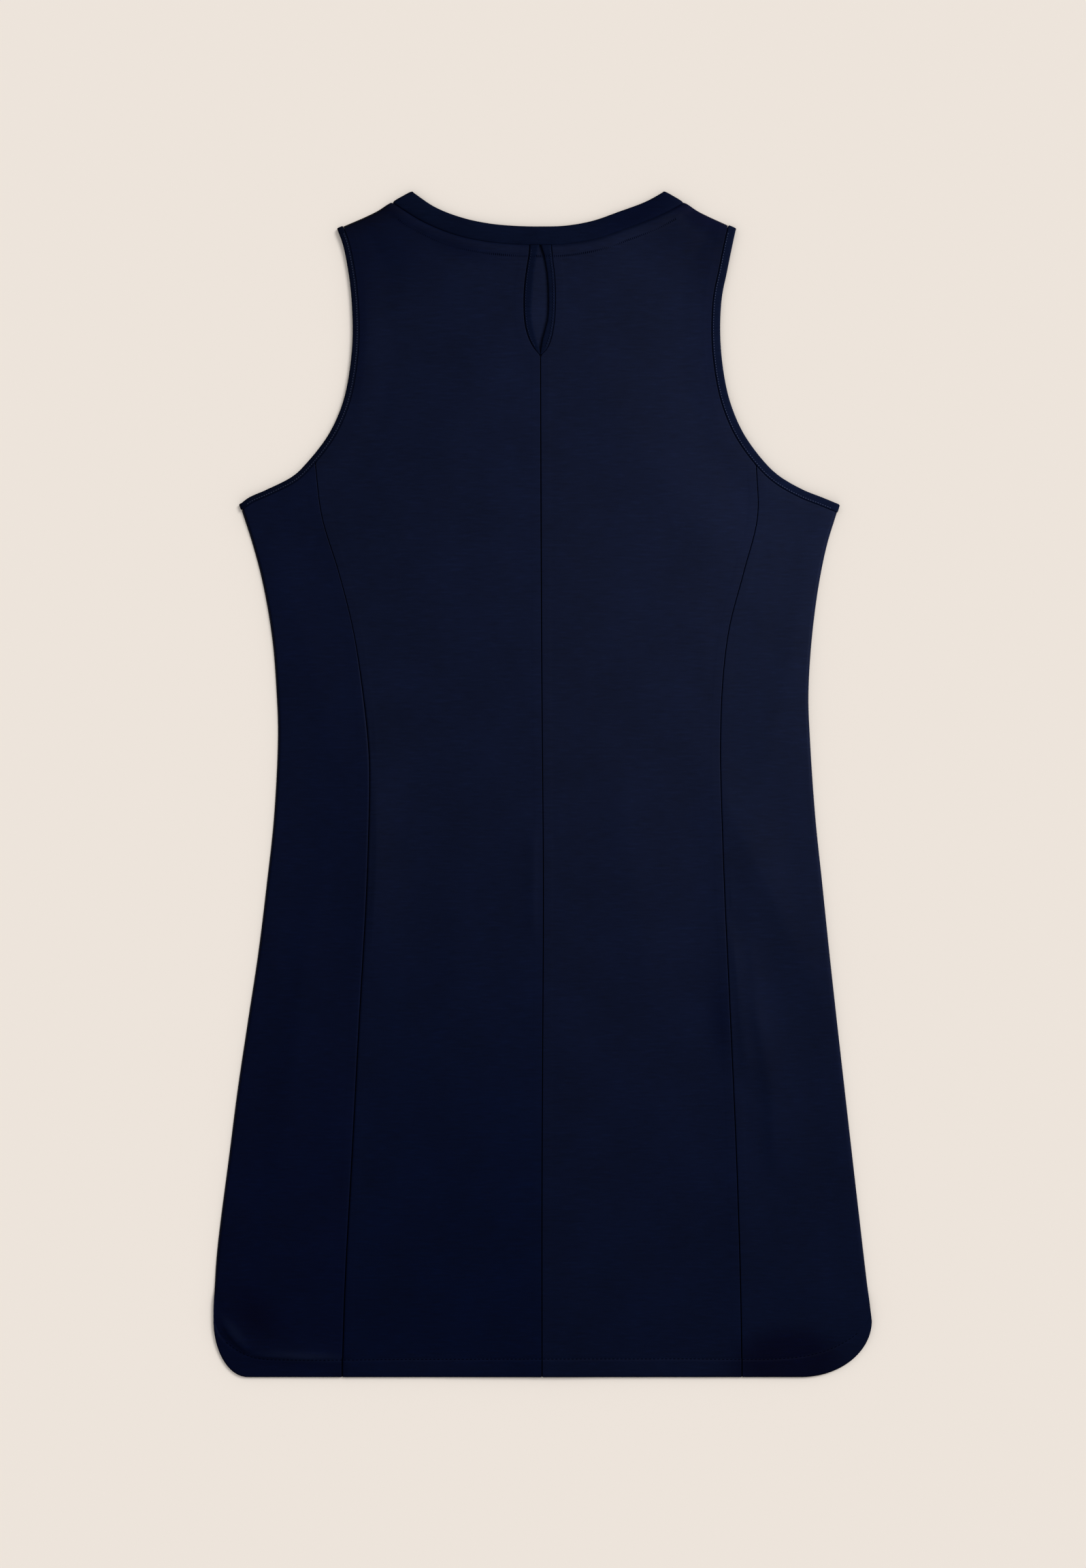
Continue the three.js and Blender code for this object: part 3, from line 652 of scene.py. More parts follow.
@dataclass(frozen=True)
class Lie:
    """How the cloth lies: how high the top of the back is over each point."""

    pattern: Pattern
    cloth: float = 1.2
    folded: float = 1.8
    gap: float = 0.3
    neck_reach: float = 36.0
    neck_fade: float = 26.0
    armhole_reach: float = 12.0
    armhole_fade: float = 20.0
    fold_fall: float = 1.5
    crease_fall: float = 1.6
    crease_head: float = 3.0
    edge_round: float = 2.2
    edge_lift: float = 0.6
    edge_lift_reach: float = 30.0
    edge_foot: float = 0.45
    round_from: float = 2.0
    round_at_sides: float = 16.0
    round_at_shoulders: float = 14.0
    wave: float = 0.2
    wave_size: float = 34.0
    wave_stretch: float = 1.5
    ripple: float = 0.045
    ripple_size: float = 9.0
    ripple_stretch: float = 2.2
    ripple_layer: float = 7.0

    def contact(self, points: np.ndarray) -> np.ndarray:
        """Find the lowest height at which the back can lie on the front and its trims.

        Args:
            points: Points on the flat, one in each row.

        Returns:
            One height for each.
        """
        neck = self.pattern.back_neck.edge.distance(points)
        armholes = self._least(self.pattern.armholes, points)
        at_neck = near(neck, self.neck_reach, self.neck_fade)
        at_armholes = near(armholes, self.armhole_reach, self.armhole_fade)
        return self.cloth + self.gap + (self.folded - self.cloth) * np.maximum(at_neck, at_armholes)

    def lift(self, points: np.ndarray) -> np.ndarray:
        """Find how far the back stands off the front, at the folded edges and in its folds.

        Args:
            points: Points on the flat, one in each row.

        Returns:
            One height for each.
        """
        sides = self._least(self.pattern.sides, points)
        shoulders = self._least(self.pattern.shoulders, points)
        height = self.edge_lift * near(np.minimum(sides, shoulders), 0.0, self.edge_lift_reach)
        for fold in FOLDS:
            lean = math.radians(fold.lean)
            right, above = points[:, 0] - fold.across, points[:, 1] - fold.up
            along = above * math.cos(lean) - right * math.sin(lean)
            beside = right * math.cos(lean) + above * math.sin(lean)
            fall = (along / fold.length) ** 2 + np.abs(beside / fold.width) ** self.fold_fall
            height = height + fold.height * np.exp(-fall)
        for crease in CREASES:
            height = height + self._ridge(crease, points)
        return height

    def _ridge(self, crease: Crease, points: np.ndarray) -> np.ndarray:
        """What one crease adds to the height."""
        line = spline(crease.spots)
        ends = [np.linalg.norm(points - line.at(end), axis=1) for end in (0.0, 1.0)]
        away = line.distance(points)
        towards_hem = line.points[::-1] if line.points[0, 1] > line.points[-1, 1] else line.points
        right = points[:, 0] > np.interp(points[:, 1], towards_hem[:, 1], towards_hem[:, 0])
        width = np.where(right, crease.right_width, crease.left_width)
        fading = smoothstep(np.minimum(*ends) + self.crease_head, 0.0, crease.fade)
        return crease.height * fading * np.exp(-np.abs(away / width) ** self.crease_fall)

    def waves(self, points: np.ndarray) -> np.ndarray:
        """Find the small unevenness of cloth that was smoothed by hand.

        Args:
            points: Points on the flat, one in each row.

        Returns:
            One height for each, a little above or below 0.
        """
        heights = np.empty(len(points))
        wave_length = self.wave_size * self.wave_stretch
        ripple_length = self.ripple_size * self.ripple_stretch
        for index, (across, up) in enumerate(points):
            wide = Vector((across / self.wave_size, up / wave_length, 0.0))
            fine = Vector((across / self.ripple_size, up / ripple_length, self.ripple_layer))
            heights[index] = self.wave * noise.noise(wide) + self.ripple * noise.noise(fine)
        return heights

    def rounded(self, points: np.ndarray) -> np.ndarray:
        """Find how far the cloth has risen out of the folded edges, from 0 to 1.

        Args:
            points: Points on the flat, one in each row.

        Returns:
            One share for each.
        """
        above_slit = points[:, 1] - self.pattern.slit - self.pattern.hem_above_slit
        band = self.pattern.back_neck.edge.distance(points) - self.pattern.neckband_at_shoulder
        shares = []
        for edges, strength in (
            (self.pattern.sides, smoothstep(above_slit, self.round_from, self.round_at_sides)),
            (self.pattern.shoulders, smoothstep(band, self.round_from, self.round_at_shoulders)),
        ):
            inside = self._least(edges, points) / self.edge_round
            risen = np.sin(math.pi / 2 * np.clip(inside, 0.0, 1.0))
            shares.append(1.0 - strength * (1.0 - risen))
        return np.minimum(*shares)

    def top(self, points: np.ndarray, relief: np.ndarray | float = 0.0) -> np.ndarray:
        """Find the height of the outside of the back.

        Args:
            points: Points on the flat, one in each row.
            relief: What the piece's own seams add.

        Returns:
            One height for each point.
        """
        height = self.contact(points) + self.cloth + self.lift(points) + self.waves(points) + relief
        return self.edge_foot + (height - self.edge_foot) * self.rounded(points)

    def _least(self, edges: dict[Side, Path], points: np.ndarray) -> np.ndarray:
        """The distance to the nearer of two edges."""
        return np.minimum(edges[Side.LEFT].distance(points), edges[Side.RIGHT].distance(points))


Colour = tuple[float, float, float]


@dataclass(frozen=True)
class Tint:
    """An oval place whose colour is mixed towards another, turned anticlockwise by some degrees.

    Most are painted shade; two paint a highlight on a crest and two a paler hem. The colour
    keeps its full share out to the core, a part of the way to the oval's edge.
    """

    across: float
    up: float
    long: float
    wide: float
    turn: float
    colour: Colour
    share: float
    core: float = 0.0


class Shading:
    """A new material, and the steps that turn places on a piece into its colours."""

    def __init__(self, name: str, roughness: float, gloss: float) -> None:
        """Start with a plain surface.

        Args:
            name: The material's name.
            roughness: How rough it is.
            gloss: How much it mirrors.
        """
        self.material = bpy.data.materials.new(name)
        self.material.use_nodes = True
        self.nodes = self.material.node_tree.nodes
        self.link = self.material.node_tree.links.new
        self.sockets = self.nodes["Principled BSDF"].inputs
        self.sockets["Roughness"].default_value = roughness
        self.sockets["Specular IOR Level"].default_value = gloss

    @cached_property
    def place(self) -> bpy.types.NodeSocket:
        """The place on the piece, in metres."""
        return self.nodes.new("ShaderNodeTexCoord").outputs["Object"]

    def noise(self, size: float, detail: float, narrow: float = 1.0) -> bpy.types.NodeSocket:
        """Add an uneven pattern.

        Args:
            size: The size of its spots, in millimetres.
            detail: How much finer pattern is in it.
            narrow: Below 1, stretches the spots to the left and right.

        Returns:
            Its value, from 0 to 1.
        """
        mapping = self.nodes.new("ShaderNodeMapping")
        mapping.inputs["Scale"].default_value = (narrow, 1.0, 1.0)
        self.link(self.place, mapping.inputs["Vector"])
        texture = self.nodes.new("ShaderNodeTexNoise")
        texture.inputs["Scale"].default_value = 1.0 / (size * MM)
        texture.inputs["Detail"].default_value = detail
        self.link(mapping.outputs["Vector"], texture.inputs["Vector"])
        return texture.outputs["Fac"]

    def mix(
        self, first: bpy.types.NodeSocket, second: bpy.types.NodeSocket, share: float
    ) -> bpy.types.NodeSocket:
        """Blend two values, with a share of the second."""
        mix = self.nodes.new("ShaderNodeMix")
        mix.inputs["Factor"].default_value = share
        self.link(first, mix.inputs["A"])
        self.link(second, mix.inputs["B"])
        return mix.outputs["Result"]

    def levels(
        self, value: bpy.types.NodeSocket, stops: Sequence[tuple[float, float]]
    ) -> bpy.types.NodeSocket:
        """Turn a value into half of a brightness, which each stop raises or lowers from 1."""
        ramp = self.nodes.new("ShaderNodeValToRGB")
        elements = ramp.color_ramp.elements
        while len(elements) < len(stops):
            elements.new(0.5)
        for element, (position, change) in zip(elements, stops):
            element.position = position
            element.color = (*([(1.0 + change) / 2] * 3), 1.0)
        self.link(value, ramp.inputs["Fac"])
        return ramp.outputs["Color"]

    def times(self, colour: bpy.types.NodeSocket, level: bpy.types.NodeSocket) -> bpy.types.NodeSocket:
        """Brighten or darken a colour."""
        shade = self.nodes.new("ShaderNodeVectorMath")
        shade.operation = "MULTIPLY"
        self.link(colour, shade.inputs[0])
        self.link(level, shade.inputs[1])
        return shade.outputs["Vector"]

    def fade(
        self, value: bpy.types.NodeSocket, start: float, end: float, at_start: float, at_end: float
    ) -> bpy.types.NodeSocket:
        """Go smoothly from one level to another while a value goes from start to end."""
        fade = self.nodes.new("ShaderNodeMapRange")
        fade.interpolation_type = "SMOOTHSTEP"
        ends = {"From Min": start, "From Max": end, "To Min": at_start, "To Max": at_end}
        for socket, number in ends.items():
            fade.inputs[socket].default_value = number
        self.link(value, fade.inputs["Value"])
        return fade.outputs["Result"]

    def oval(self, tint: Tint) -> bpy.types.NodeSocket:
        """How far each place is from the middle of an oval, whose edge is at 1."""
        oval = self.nodes.new("ShaderNodeMapping")
        oval.vector_type = "TEXTURE"
        oval.inputs["Location"].default_value = (tint.across * MM, (tint.up - LENGTH / 2) * MM, 0.0)
        oval.inputs["Rotation"].default_value = (0.0, 0.0, math.radians(tint.turn))
        oval.inputs["Scale"].default_value = (tint.long * MM, tint.wide * MM, 1.0)
        self.link(self.place, oval.inputs["Vector"])
        away = self.nodes.new("ShaderNodeVectorMath")
        away.operation = "LENGTH"
        self.link(oval.outputs["Vector"], away.inputs[0])
        return away.outputs["Value"]


@dataclass(frozen=True)
class Jersey:
    """Matt navy jersey with fine courses across, slubs, and cloudy, uneven dyeing.

    The colour is paler towards the shoulders and darker towards the hem, which is painted light
    and shade, and differs a little from piece to piece, which is painted sheen of the knit.
    """

    name: str
    # the colour at the shoulders: the navy, with painted light
    shoulder_colour_and_light: Colour = (0.0009, 0.0019, 0.0073)
    # the colour at the hem: the navy, with painted shade
    deep: Colour = (0.0003, 0.0011, 0.0072)
    tone: float = 1.0
    tints: tuple[Tint, ...] = ()
    gloss: float = 0.022
    roughness: float = 0.66
    fuzz: float = 0.002
    fuzz_roughness: float = 0.55
    fuzz_colour: Colour = (0.62, 0.72, 1.0)
    # places up the dress, in metres from its middle: below the first the hem's painted shade holds,
    # above the second the shoulders' painted light
    hem_shade_below: float = -0.42
    shoulder_light_from: float = 0.08
    cloud_size: float = 46.0
    cloud_strength: float = 0.22
    course_size: float = 1.7
    course_narrow: float = 0.16
    course_share: float = 0.42
    speckle_size: float = 0.9
    speckle_share: float = 0.2
    slub_strength: float = 0.09
    thin_places: float = 0.7
    knit_depth: float = 0.05
    knit_strength: float = 0.5

    def make(self) -> bpy.types.Material:
        """Build the material.

        Returns:
            The material, with its own nodes.
        """
        shading = Shading(self.name, self.roughness, self.gloss)
        sockets = shading.sockets
        sockets["Sheen Weight"].default_value = self.fuzz
        sockets["Sheen Roughness"].default_value = self.fuzz_roughness
        sockets["Sheen Tint"].default_value = (*self.fuzz_colour, 1.0)

        clouds = shading.noise(self.cloud_size, detail=3.0)
        courses = shading.noise(self.course_size, detail=2.0, narrow=self.course_narrow)
        speckle = shading.noise(self.speckle_size, detail=2.0)
        uneven = shading.mix(clouds, courses, self.course_share)
        uneven = shading.mix(uneven, speckle, self.speckle_share)
        cloud, slub = self.cloud_strength, self.slub_strength
        cloudy = shading.levels(uneven, ((0.3, -cloud), (0.7, cloud)))
        thin = slub * self.thin_places
        slubs = shading.levels(courses, ((0.34, -thin), (0.4, 0.0), (0.6, 0.0), (0.66, slub)))
        colour = shading.times(shading.times(self._colour_and_painted_light(shading), cloudy), slubs)
        shading.link(colour, sockets["Base Color"])

        bump = shading.nodes.new("ShaderNodeBump")
        bump.inputs["Strength"].default_value = self.knit_strength
        bump.inputs["Distance"].default_value = self.knit_depth * MM
        shading.link(shading.mix(courses, speckle, 0.5), bump.inputs["Height"])
        shading.link(bump.outputs["Normal"], sockets["Normal"])
        return shading.material

    def _colour_and_painted_light(self, shading: Shading) -> bpy.types.NodeSocket:
        """The colour from hem to shoulders, painted paler upwards, with the ovals mixed in."""
        parts = shading.nodes.new("ShaderNodeSeparateXYZ")
        shading.link(shading.place, parts.inputs["Vector"])
        # painted light and shade: darker at the hem, paler towards the shoulders
        share = shading.fade(parts.outputs["Y"], self.hem_shade_below, self.shoulder_light_from, 0.0, 1.0)
        mixing = self._blend(shading, share, self.shoulder_colour_and_light)
        mixing.inputs[6].default_value = self._strong(self.deep)
        colour = mixing.outputs[2]
        # ovals of painted shade and painted highlight, and a paler hem
        for tint in self.tints:
            share = shading.fade(shading.oval(tint), tint.core, 1.0, tint.share, 0.0)
            mixing = self._blend(shading, share, tint.colour)
            shading.link(colour, mixing.inputs[6])
            colour = mixing.outputs[2]
        return colour

    def _blend(
        self, shading: Shading, share: bpy.types.NodeSocket, colour: Colour
    ) -> bpy.types.ShaderNodeMix:
        """A step that brings in a share of a colour."""
        mix = shading.nodes.new("ShaderNodeMix")
        mix.data_type = "RGBA"
        mix.inputs[7].default_value = self._strong(colour)
        shading.link(share, mix.inputs["Factor"])
        return mix

    def _strong(self, colour: Colour) -> tuple[float, ...]:
        """A colour in this jersey's tone, four times as strong, as two levels halve it later."""
        return (*(4 * self.tone * part for part in colour), 1.0)


@dataclass(frozen=True)
class Thread:
    """Twisted sewing thread, whose twist makes it paler and darker along its way."""

    name: str
    colour: Colour = (0.0150, 0.0190, 0.0380)
    gloss: float = 0.03
    roughness: float = 0.7
    twist_size: float = 0.3
    darkest: float = 0.7
    palest: float = 1.3

    def make(self) -> bpy.types.Material:
        """Build the material.

        Returns:
            The material, with its own nodes.
        """
        shading = Shading(self.name, self.roughness, self.gloss)
        ramp = shading.nodes.new("ShaderNodeValToRGB")
        for element, level in zip(ramp.color_ramp.elements, (self.darkest, self.palest)):
            element.color = (*(level * part for part in self.colour), 1.0)
        shading.link(shading.noise(self.twist_size, detail=2.0), ramp.inputs["Fac"])
        shading.link(ramp.outputs["Color"], shading.sockets["Base Color"])
        return shading.material


# Colours that the ovals mix in: the first four mostly paint shade, PALE paints the highlight on the left
# corner's crest and lightens the hem at the right, and the last lightens the hem at the left.
SHADED: Colour = (0.0001, 0.0008, 0.0057)
DIM: Colour = (0.0002, 0.0008, 0.0046)
DARK: Colour = (0.0, 0.0003, 0.0046)
DARKEST: Colour = (0.0, 0.0002, 0.0026)
PALE: Colour = (0.0012, 0.0024, 0.0098)
HEM_PALE: Colour = (0.0006, 0.0015, 0.0080)
# painted shade where the hem's right corner tilts away from the light
RIGHT_CORNER_SHADE = Tint(across=188, up=11, long=56, wide=36, turn=0, colour=DARK, share=1.0, core=0.4)
NECKBAND_RIGHT = Tint(across=76, up=888, long=62, wide=30, turn=28, colour=DARK, share=0.5)
# painted highlight along the crest of the fold over the hem at the left corner
LEFT_CREST_HIGHLIGHT = (
    Tint(across=-184, up=16, long=50, wide=6.5, turn=-3, colour=PALE, share=1.0),
    Tint(across=-235, up=35, long=24, wide=6.0, turn=-52, colour=PALE, share=0.6),
)
# The pieces' jerseys. Their colours, set piece by piece, paint the knit's sheen; their ovals paint shade
# and highlights.
JERSEYS = {
    "back_center_left": Jersey(
        "jersey_back_center_left",
        shoulder_colour_and_light=(0.00086, 0.00184, 0.0077),
        deep=(0.00004, 0.00097, 0.0072),
        tints=(
            # painted shade over the left shoulder, along its edge and its armhole, and on the strip
            # under the neckband; the last lightens the hem
            Tint(across=-138, up=872, long=120, wide=82, turn=35, colour=SHADED, share=0.9),
            Tint(across=-129, up=893, long=72, wide=20, turn=26, colour=DARKEST, share=1.0),
            Tint(across=-141, up=800, long=95, wide=12, turn=88, colour=SHADED, share=0.9),
            Tint(across=-64, up=862, long=48, wide=13, turn=-18, colour=SHADED, share=0.7),
            Tint(across=-85, up=9, long=85, wide=12, turn=0, colour=HEM_PALE, share=0.7),
        ),
    ),
    "back_side_left": Jersey(
        "jersey_back_side_left",
        shoulder_colour_and_light=(0.00052, 0.00143, 0.0074),
        deep=(0.00012, 0.00092, 0.0072),
        tints=(
            # painted shade in the hollow at the left corner, then the painted highlight on its crest
            Tint(across=-220, up=47, long=48, wide=24, turn=-42, colour=DARK, share=0.8),
            *LEFT_CREST_HIGHLIGHT,
        ),
    ),
    "back_center_right": Jersey(
        "jersey_back_center_right",
        shoulder_colour_and_light=(0.00086, 0.00176, 0.0071),
        deep=(0.00048, 0.00144, 0.0076),
        tints=(
            # painted shade over the right shoulder, along its edge and its armhole, and beside the
            # shaped seam; then a paler hem and the corner's painted shade
            Tint(across=128, up=870, long=90, wide=60, turn=-28, colour=DIM, share=1.0),
            Tint(across=124, up=890, long=56, wide=17, turn=-25, colour=DARK, share=1.0),
            Tint(across=131, up=800, long=90, wide=16, turn=92, colour=SHADED, share=0.6),
            Tint(across=136, up=272, long=46, wide=14, turn=93, colour=SHADED, share=0.7),
            Tint(across=90, up=9, long=75, wide=13, turn=0, colour=PALE, share=0.3),
            RIGHT_CORNER_SHADE,
        ),
    ),
    "back_side_right": Jersey(
        "jersey_back_side_right",
        shoulder_colour_and_light=(0.00080, 0.0017, 0.0068),
        deep=(0.00045, 0.0014, 0.0072),
        # painted shade at the right corner
        tints=(RIGHT_CORNER_SHADE,),
    ),
    # painted shade: the front is darker, so the gaps between the back's pieces look shaded
    "front": Jersey("jersey_front_shaded", tone=0.7, gloss=0.01),
    "front_at_keyhole": Jersey("jersey_inside", shoulder_colour_and_light=(0.00125, 0.0024, 0.0088)),
    "trim": Jersey("jersey_trim", tone=0.8, gloss=0.008, tints=(NECKBAND_RIGHT,)),
    # painted shade: darker copies of the trim for the left armhole and keyhole bindings, which fall away
    # from the light
    "armhole_left": Jersey("jersey_armhole_left_shaded", tone=0.6, gloss=0.008),
    "keyhole_left": Jersey("jersey_keyhole_left_shaded", tone=0.84, gloss=0.006),
}
# a paler navy than the cloth, brightened further as a painted highlight on the stitches
LIGHT_THREAD = Thread("thread")
FAINT_THREAD = Thread("faint_thread", colour=(0.0040, 0.0062, 0.0170), gloss=0.02)
# near black: at the neck it paints the shade in the dents that the stitches pull
DARK_THREAD = Thread("dark_thread", colour=(0.00008, 0.0003, 0.0020), gloss=0.002)


@dataclass(frozen=True)
class Paper:
    """The plain pale floor."""

    name: str = "floor_paper"
    colour: Colour = (0.90, 0.825, 0.753)

    def make(self) -> bpy.types.Material:
        """Build the material."""
        shading = Shading(self.name, roughness=1.0, gloss=0.0)
        shading.sockets["Base Color"].default_value = (*self.colour, 1.0)
        return shading.material


def finished(
    name: str,
    mesh_source: bmesh.types.BMesh,
    material: bpy.types.Material,
    replaced: Sequence[str] = (),
) -> bpy.types.Object:
    """Turn a bmesh in millimetres into a piece that rides on the dress.

    Args:
        name: The piece's name.
        mesh_source: Its shape, which is freed.
        material: Its finish.
        replaced: Names of the CAD nodes that it stands for.

    Returns:
        The new object.
    """
    offset = Matrix.Translation((0.0, -LENGTH / 2 * MM, 0.0))
    bmesh.ops.transform(mesh_source, matrix=offset @ Matrix.Scale(MM, 4), verts=mesh_source.verts)
    mesh = bpy.data.meshes.new(name)
    mesh_source.to_mesh(mesh)
    mesh_source.free()
    mesh.materials.append(material)
    mesh.shade_smooth()
    piece = bpy.data.objects.new(name, mesh)
    bpy.data.collections["dress"].objects.link(piece)
    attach(piece, "root")
    if replaced:
        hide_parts(*replaced)
    return piece


SAME = 1e-4  # points nearer than this are one
LOWEST = 0.02  # how near an underside comes to the surface


def grid(
    columns: int, rows: int, place: Callable[[np.ndarray, np.ndarray], np.ndarray]
) -> bmesh.types.BMesh:
    """Shape a flat grid by putting each of its points in place.

    Args:
        columns: Number of points from left to right.
        rows: Number of points from bottom to top.
        place: Gives the points' places from their columns and rows, counted from 0.

    Returns:
        The shaped grid, in millimetres.
    """
    sheet = bmesh.new()
    bmesh.ops.create_grid(sheet, x_segments=columns - 1, y_segments=rows - 1, size=0.5)
    flat = np.array([vertex.co[:2] for vertex in sheet.verts])
    column_of = np.rint((flat[:, 0] + 0.5) * (columns - 1)).astype(int)
    row_of = np.rint((flat[:, 1] + 0.5) * (rows - 1)).astype(int)
    for vertex, spot in zip(sheet.verts, place(column_of, row_of)):
        vertex.co = spot
    return sheet


def sweep(sections: np.ndarray, looped: bool) -> bmesh.types.BMesh:
    """Join closed sections into a solid strip.

    Args:
        sections: The sections, the points round each, and their coordinates.
        looped: Whether the last section meets the first. Otherwise the ends are closed.

    Returns:
        The strip, in millimetres.
    """
    if not looped:
        start, end = (np.broadcast_to(ring.mean(axis=0), ring.shape) for ring in sections[[0, -1]])
        sections = np.stack((start, *sections, end))
    count, around = sections.shape[:2]
    rows = count + 1 if looped else count
    strip = grid(around + 1, rows, lambda column, row: sections[row % count, column % around])
    bmesh.ops.remove_doubles(strip, verts=strip.verts, dist=SAME)
    bmesh.ops.recalc_face_normals(strip, faces=strip.faces)
    return strip


def thicken(sheet: bmesh.types.BMesh, thickness: float) -> bmesh.types.BMesh:
    """Give a sheet its thickness, on its underside and down to the surface at most.

    Args:
        sheet: The sheet, in millimetres.
        thickness: Its thickness.

    Returns:
        The same sheet, closed.
    """
    copied = bmesh.ops.extrude_face_region(sheet, geom=list(sheet.faces), use_keep_orig=True)
    for lower in copied["geom"]:
        if isinstance(lower, bmesh.types.BMVert):
            lower.co.z = max(lower.co.z - thickness, LOWEST)
    bmesh.ops.recalc_face_normals(sheet, faces=sheet.faces)
    return sheet


def stations(length: float, start: Sequence[float], end: Sequence[float], step: float) -> np.ndarray:
    """Place points along a stretch: fixed ones near each end, and even ones between.

    Args:
        length: Length of the stretch.
        start: Distances from its start.
        end: Distances from its end.
        step: The spacing in between.

    Returns:
        Shares of the length, from 0 to 1.
    """
    first, last = start[-1], length - end[-1]
    count = max(2, round((last - first) / step) + 1)
    between = np.linspace(first, last, count)[1:-1]
    return np.concatenate((start, between, length - np.array(end)[::-1])) / length


# distances of the first points from an edge
SEWN = (0.0, 0.25, 0.5, 0.8, 1.2, 1.7, 2.4, 3.5, 5.0, 6.2, 6.9, 7.6, 8.6)
FOLDED_OVER = (0.0, 0.4, 0.9, 1.5, 2.2, 3.0, 4.0, 5.6)
UNDER_NECKBAND = (0.05, 0.2, 0.45, 0.8, 1.2, 1.7, 2.2, 3.2, 5.0, 6.6, 7.2, 7.8, 8.6)
ABOVE_HEM = (0.7, 1.4, 2.2, 3.4)
AT_KEYHOLE_FOOT = (1.2, 2.0, 3.0)
AT_KEYHOLE_HEAD = (0.3, 2.0, 4.0, 6.0, 6.6, 7.2, 7.8, 8.4, 10.0)


@dataclass(frozen=True, eq=False)
class Patch:
    """A panel's shape on the flat: four edges that meet at their ends, filled smoothly."""

    bottom: Path
    top: Path
    left: Path
    right: Path

    def at(self, u: np.ndarray, v: np.ndarray) -> np.ndarray:
        """Find points inside the panel.

        Args:
            u: Shares from the left edge to the right one.
            v: Shares from the bottom edge to the top one.

        Returns:
            One point for each pair.
        """
        across, up = u[:, None], v[:, None]
        ruled = self.bottom.at(u) * (1 - up) + self.top.at(u) * up
        ruled = ruled + self.left.at(v) * (1 - across) + self.right.at(v) * across
        for edge, level in ((self.bottom, 1 - up), (self.top, up)):
            ruled = ruled - edge.at(0.0) * (1 - across) * level - edge.at(1.0) * across * level
        return ruled


@dataclass(frozen=True)
class Gathers:
    """A stretch of the hem that its stitches gather, and the length over which that fades."""

    across: float
    reach: float
    fade: float


HEM_GATHERS = (
    Gathers(across=-72.0, reach=30.0, fade=40.0),
    Gathers(across=130.0, reach=20.0, fade=25.0),
)


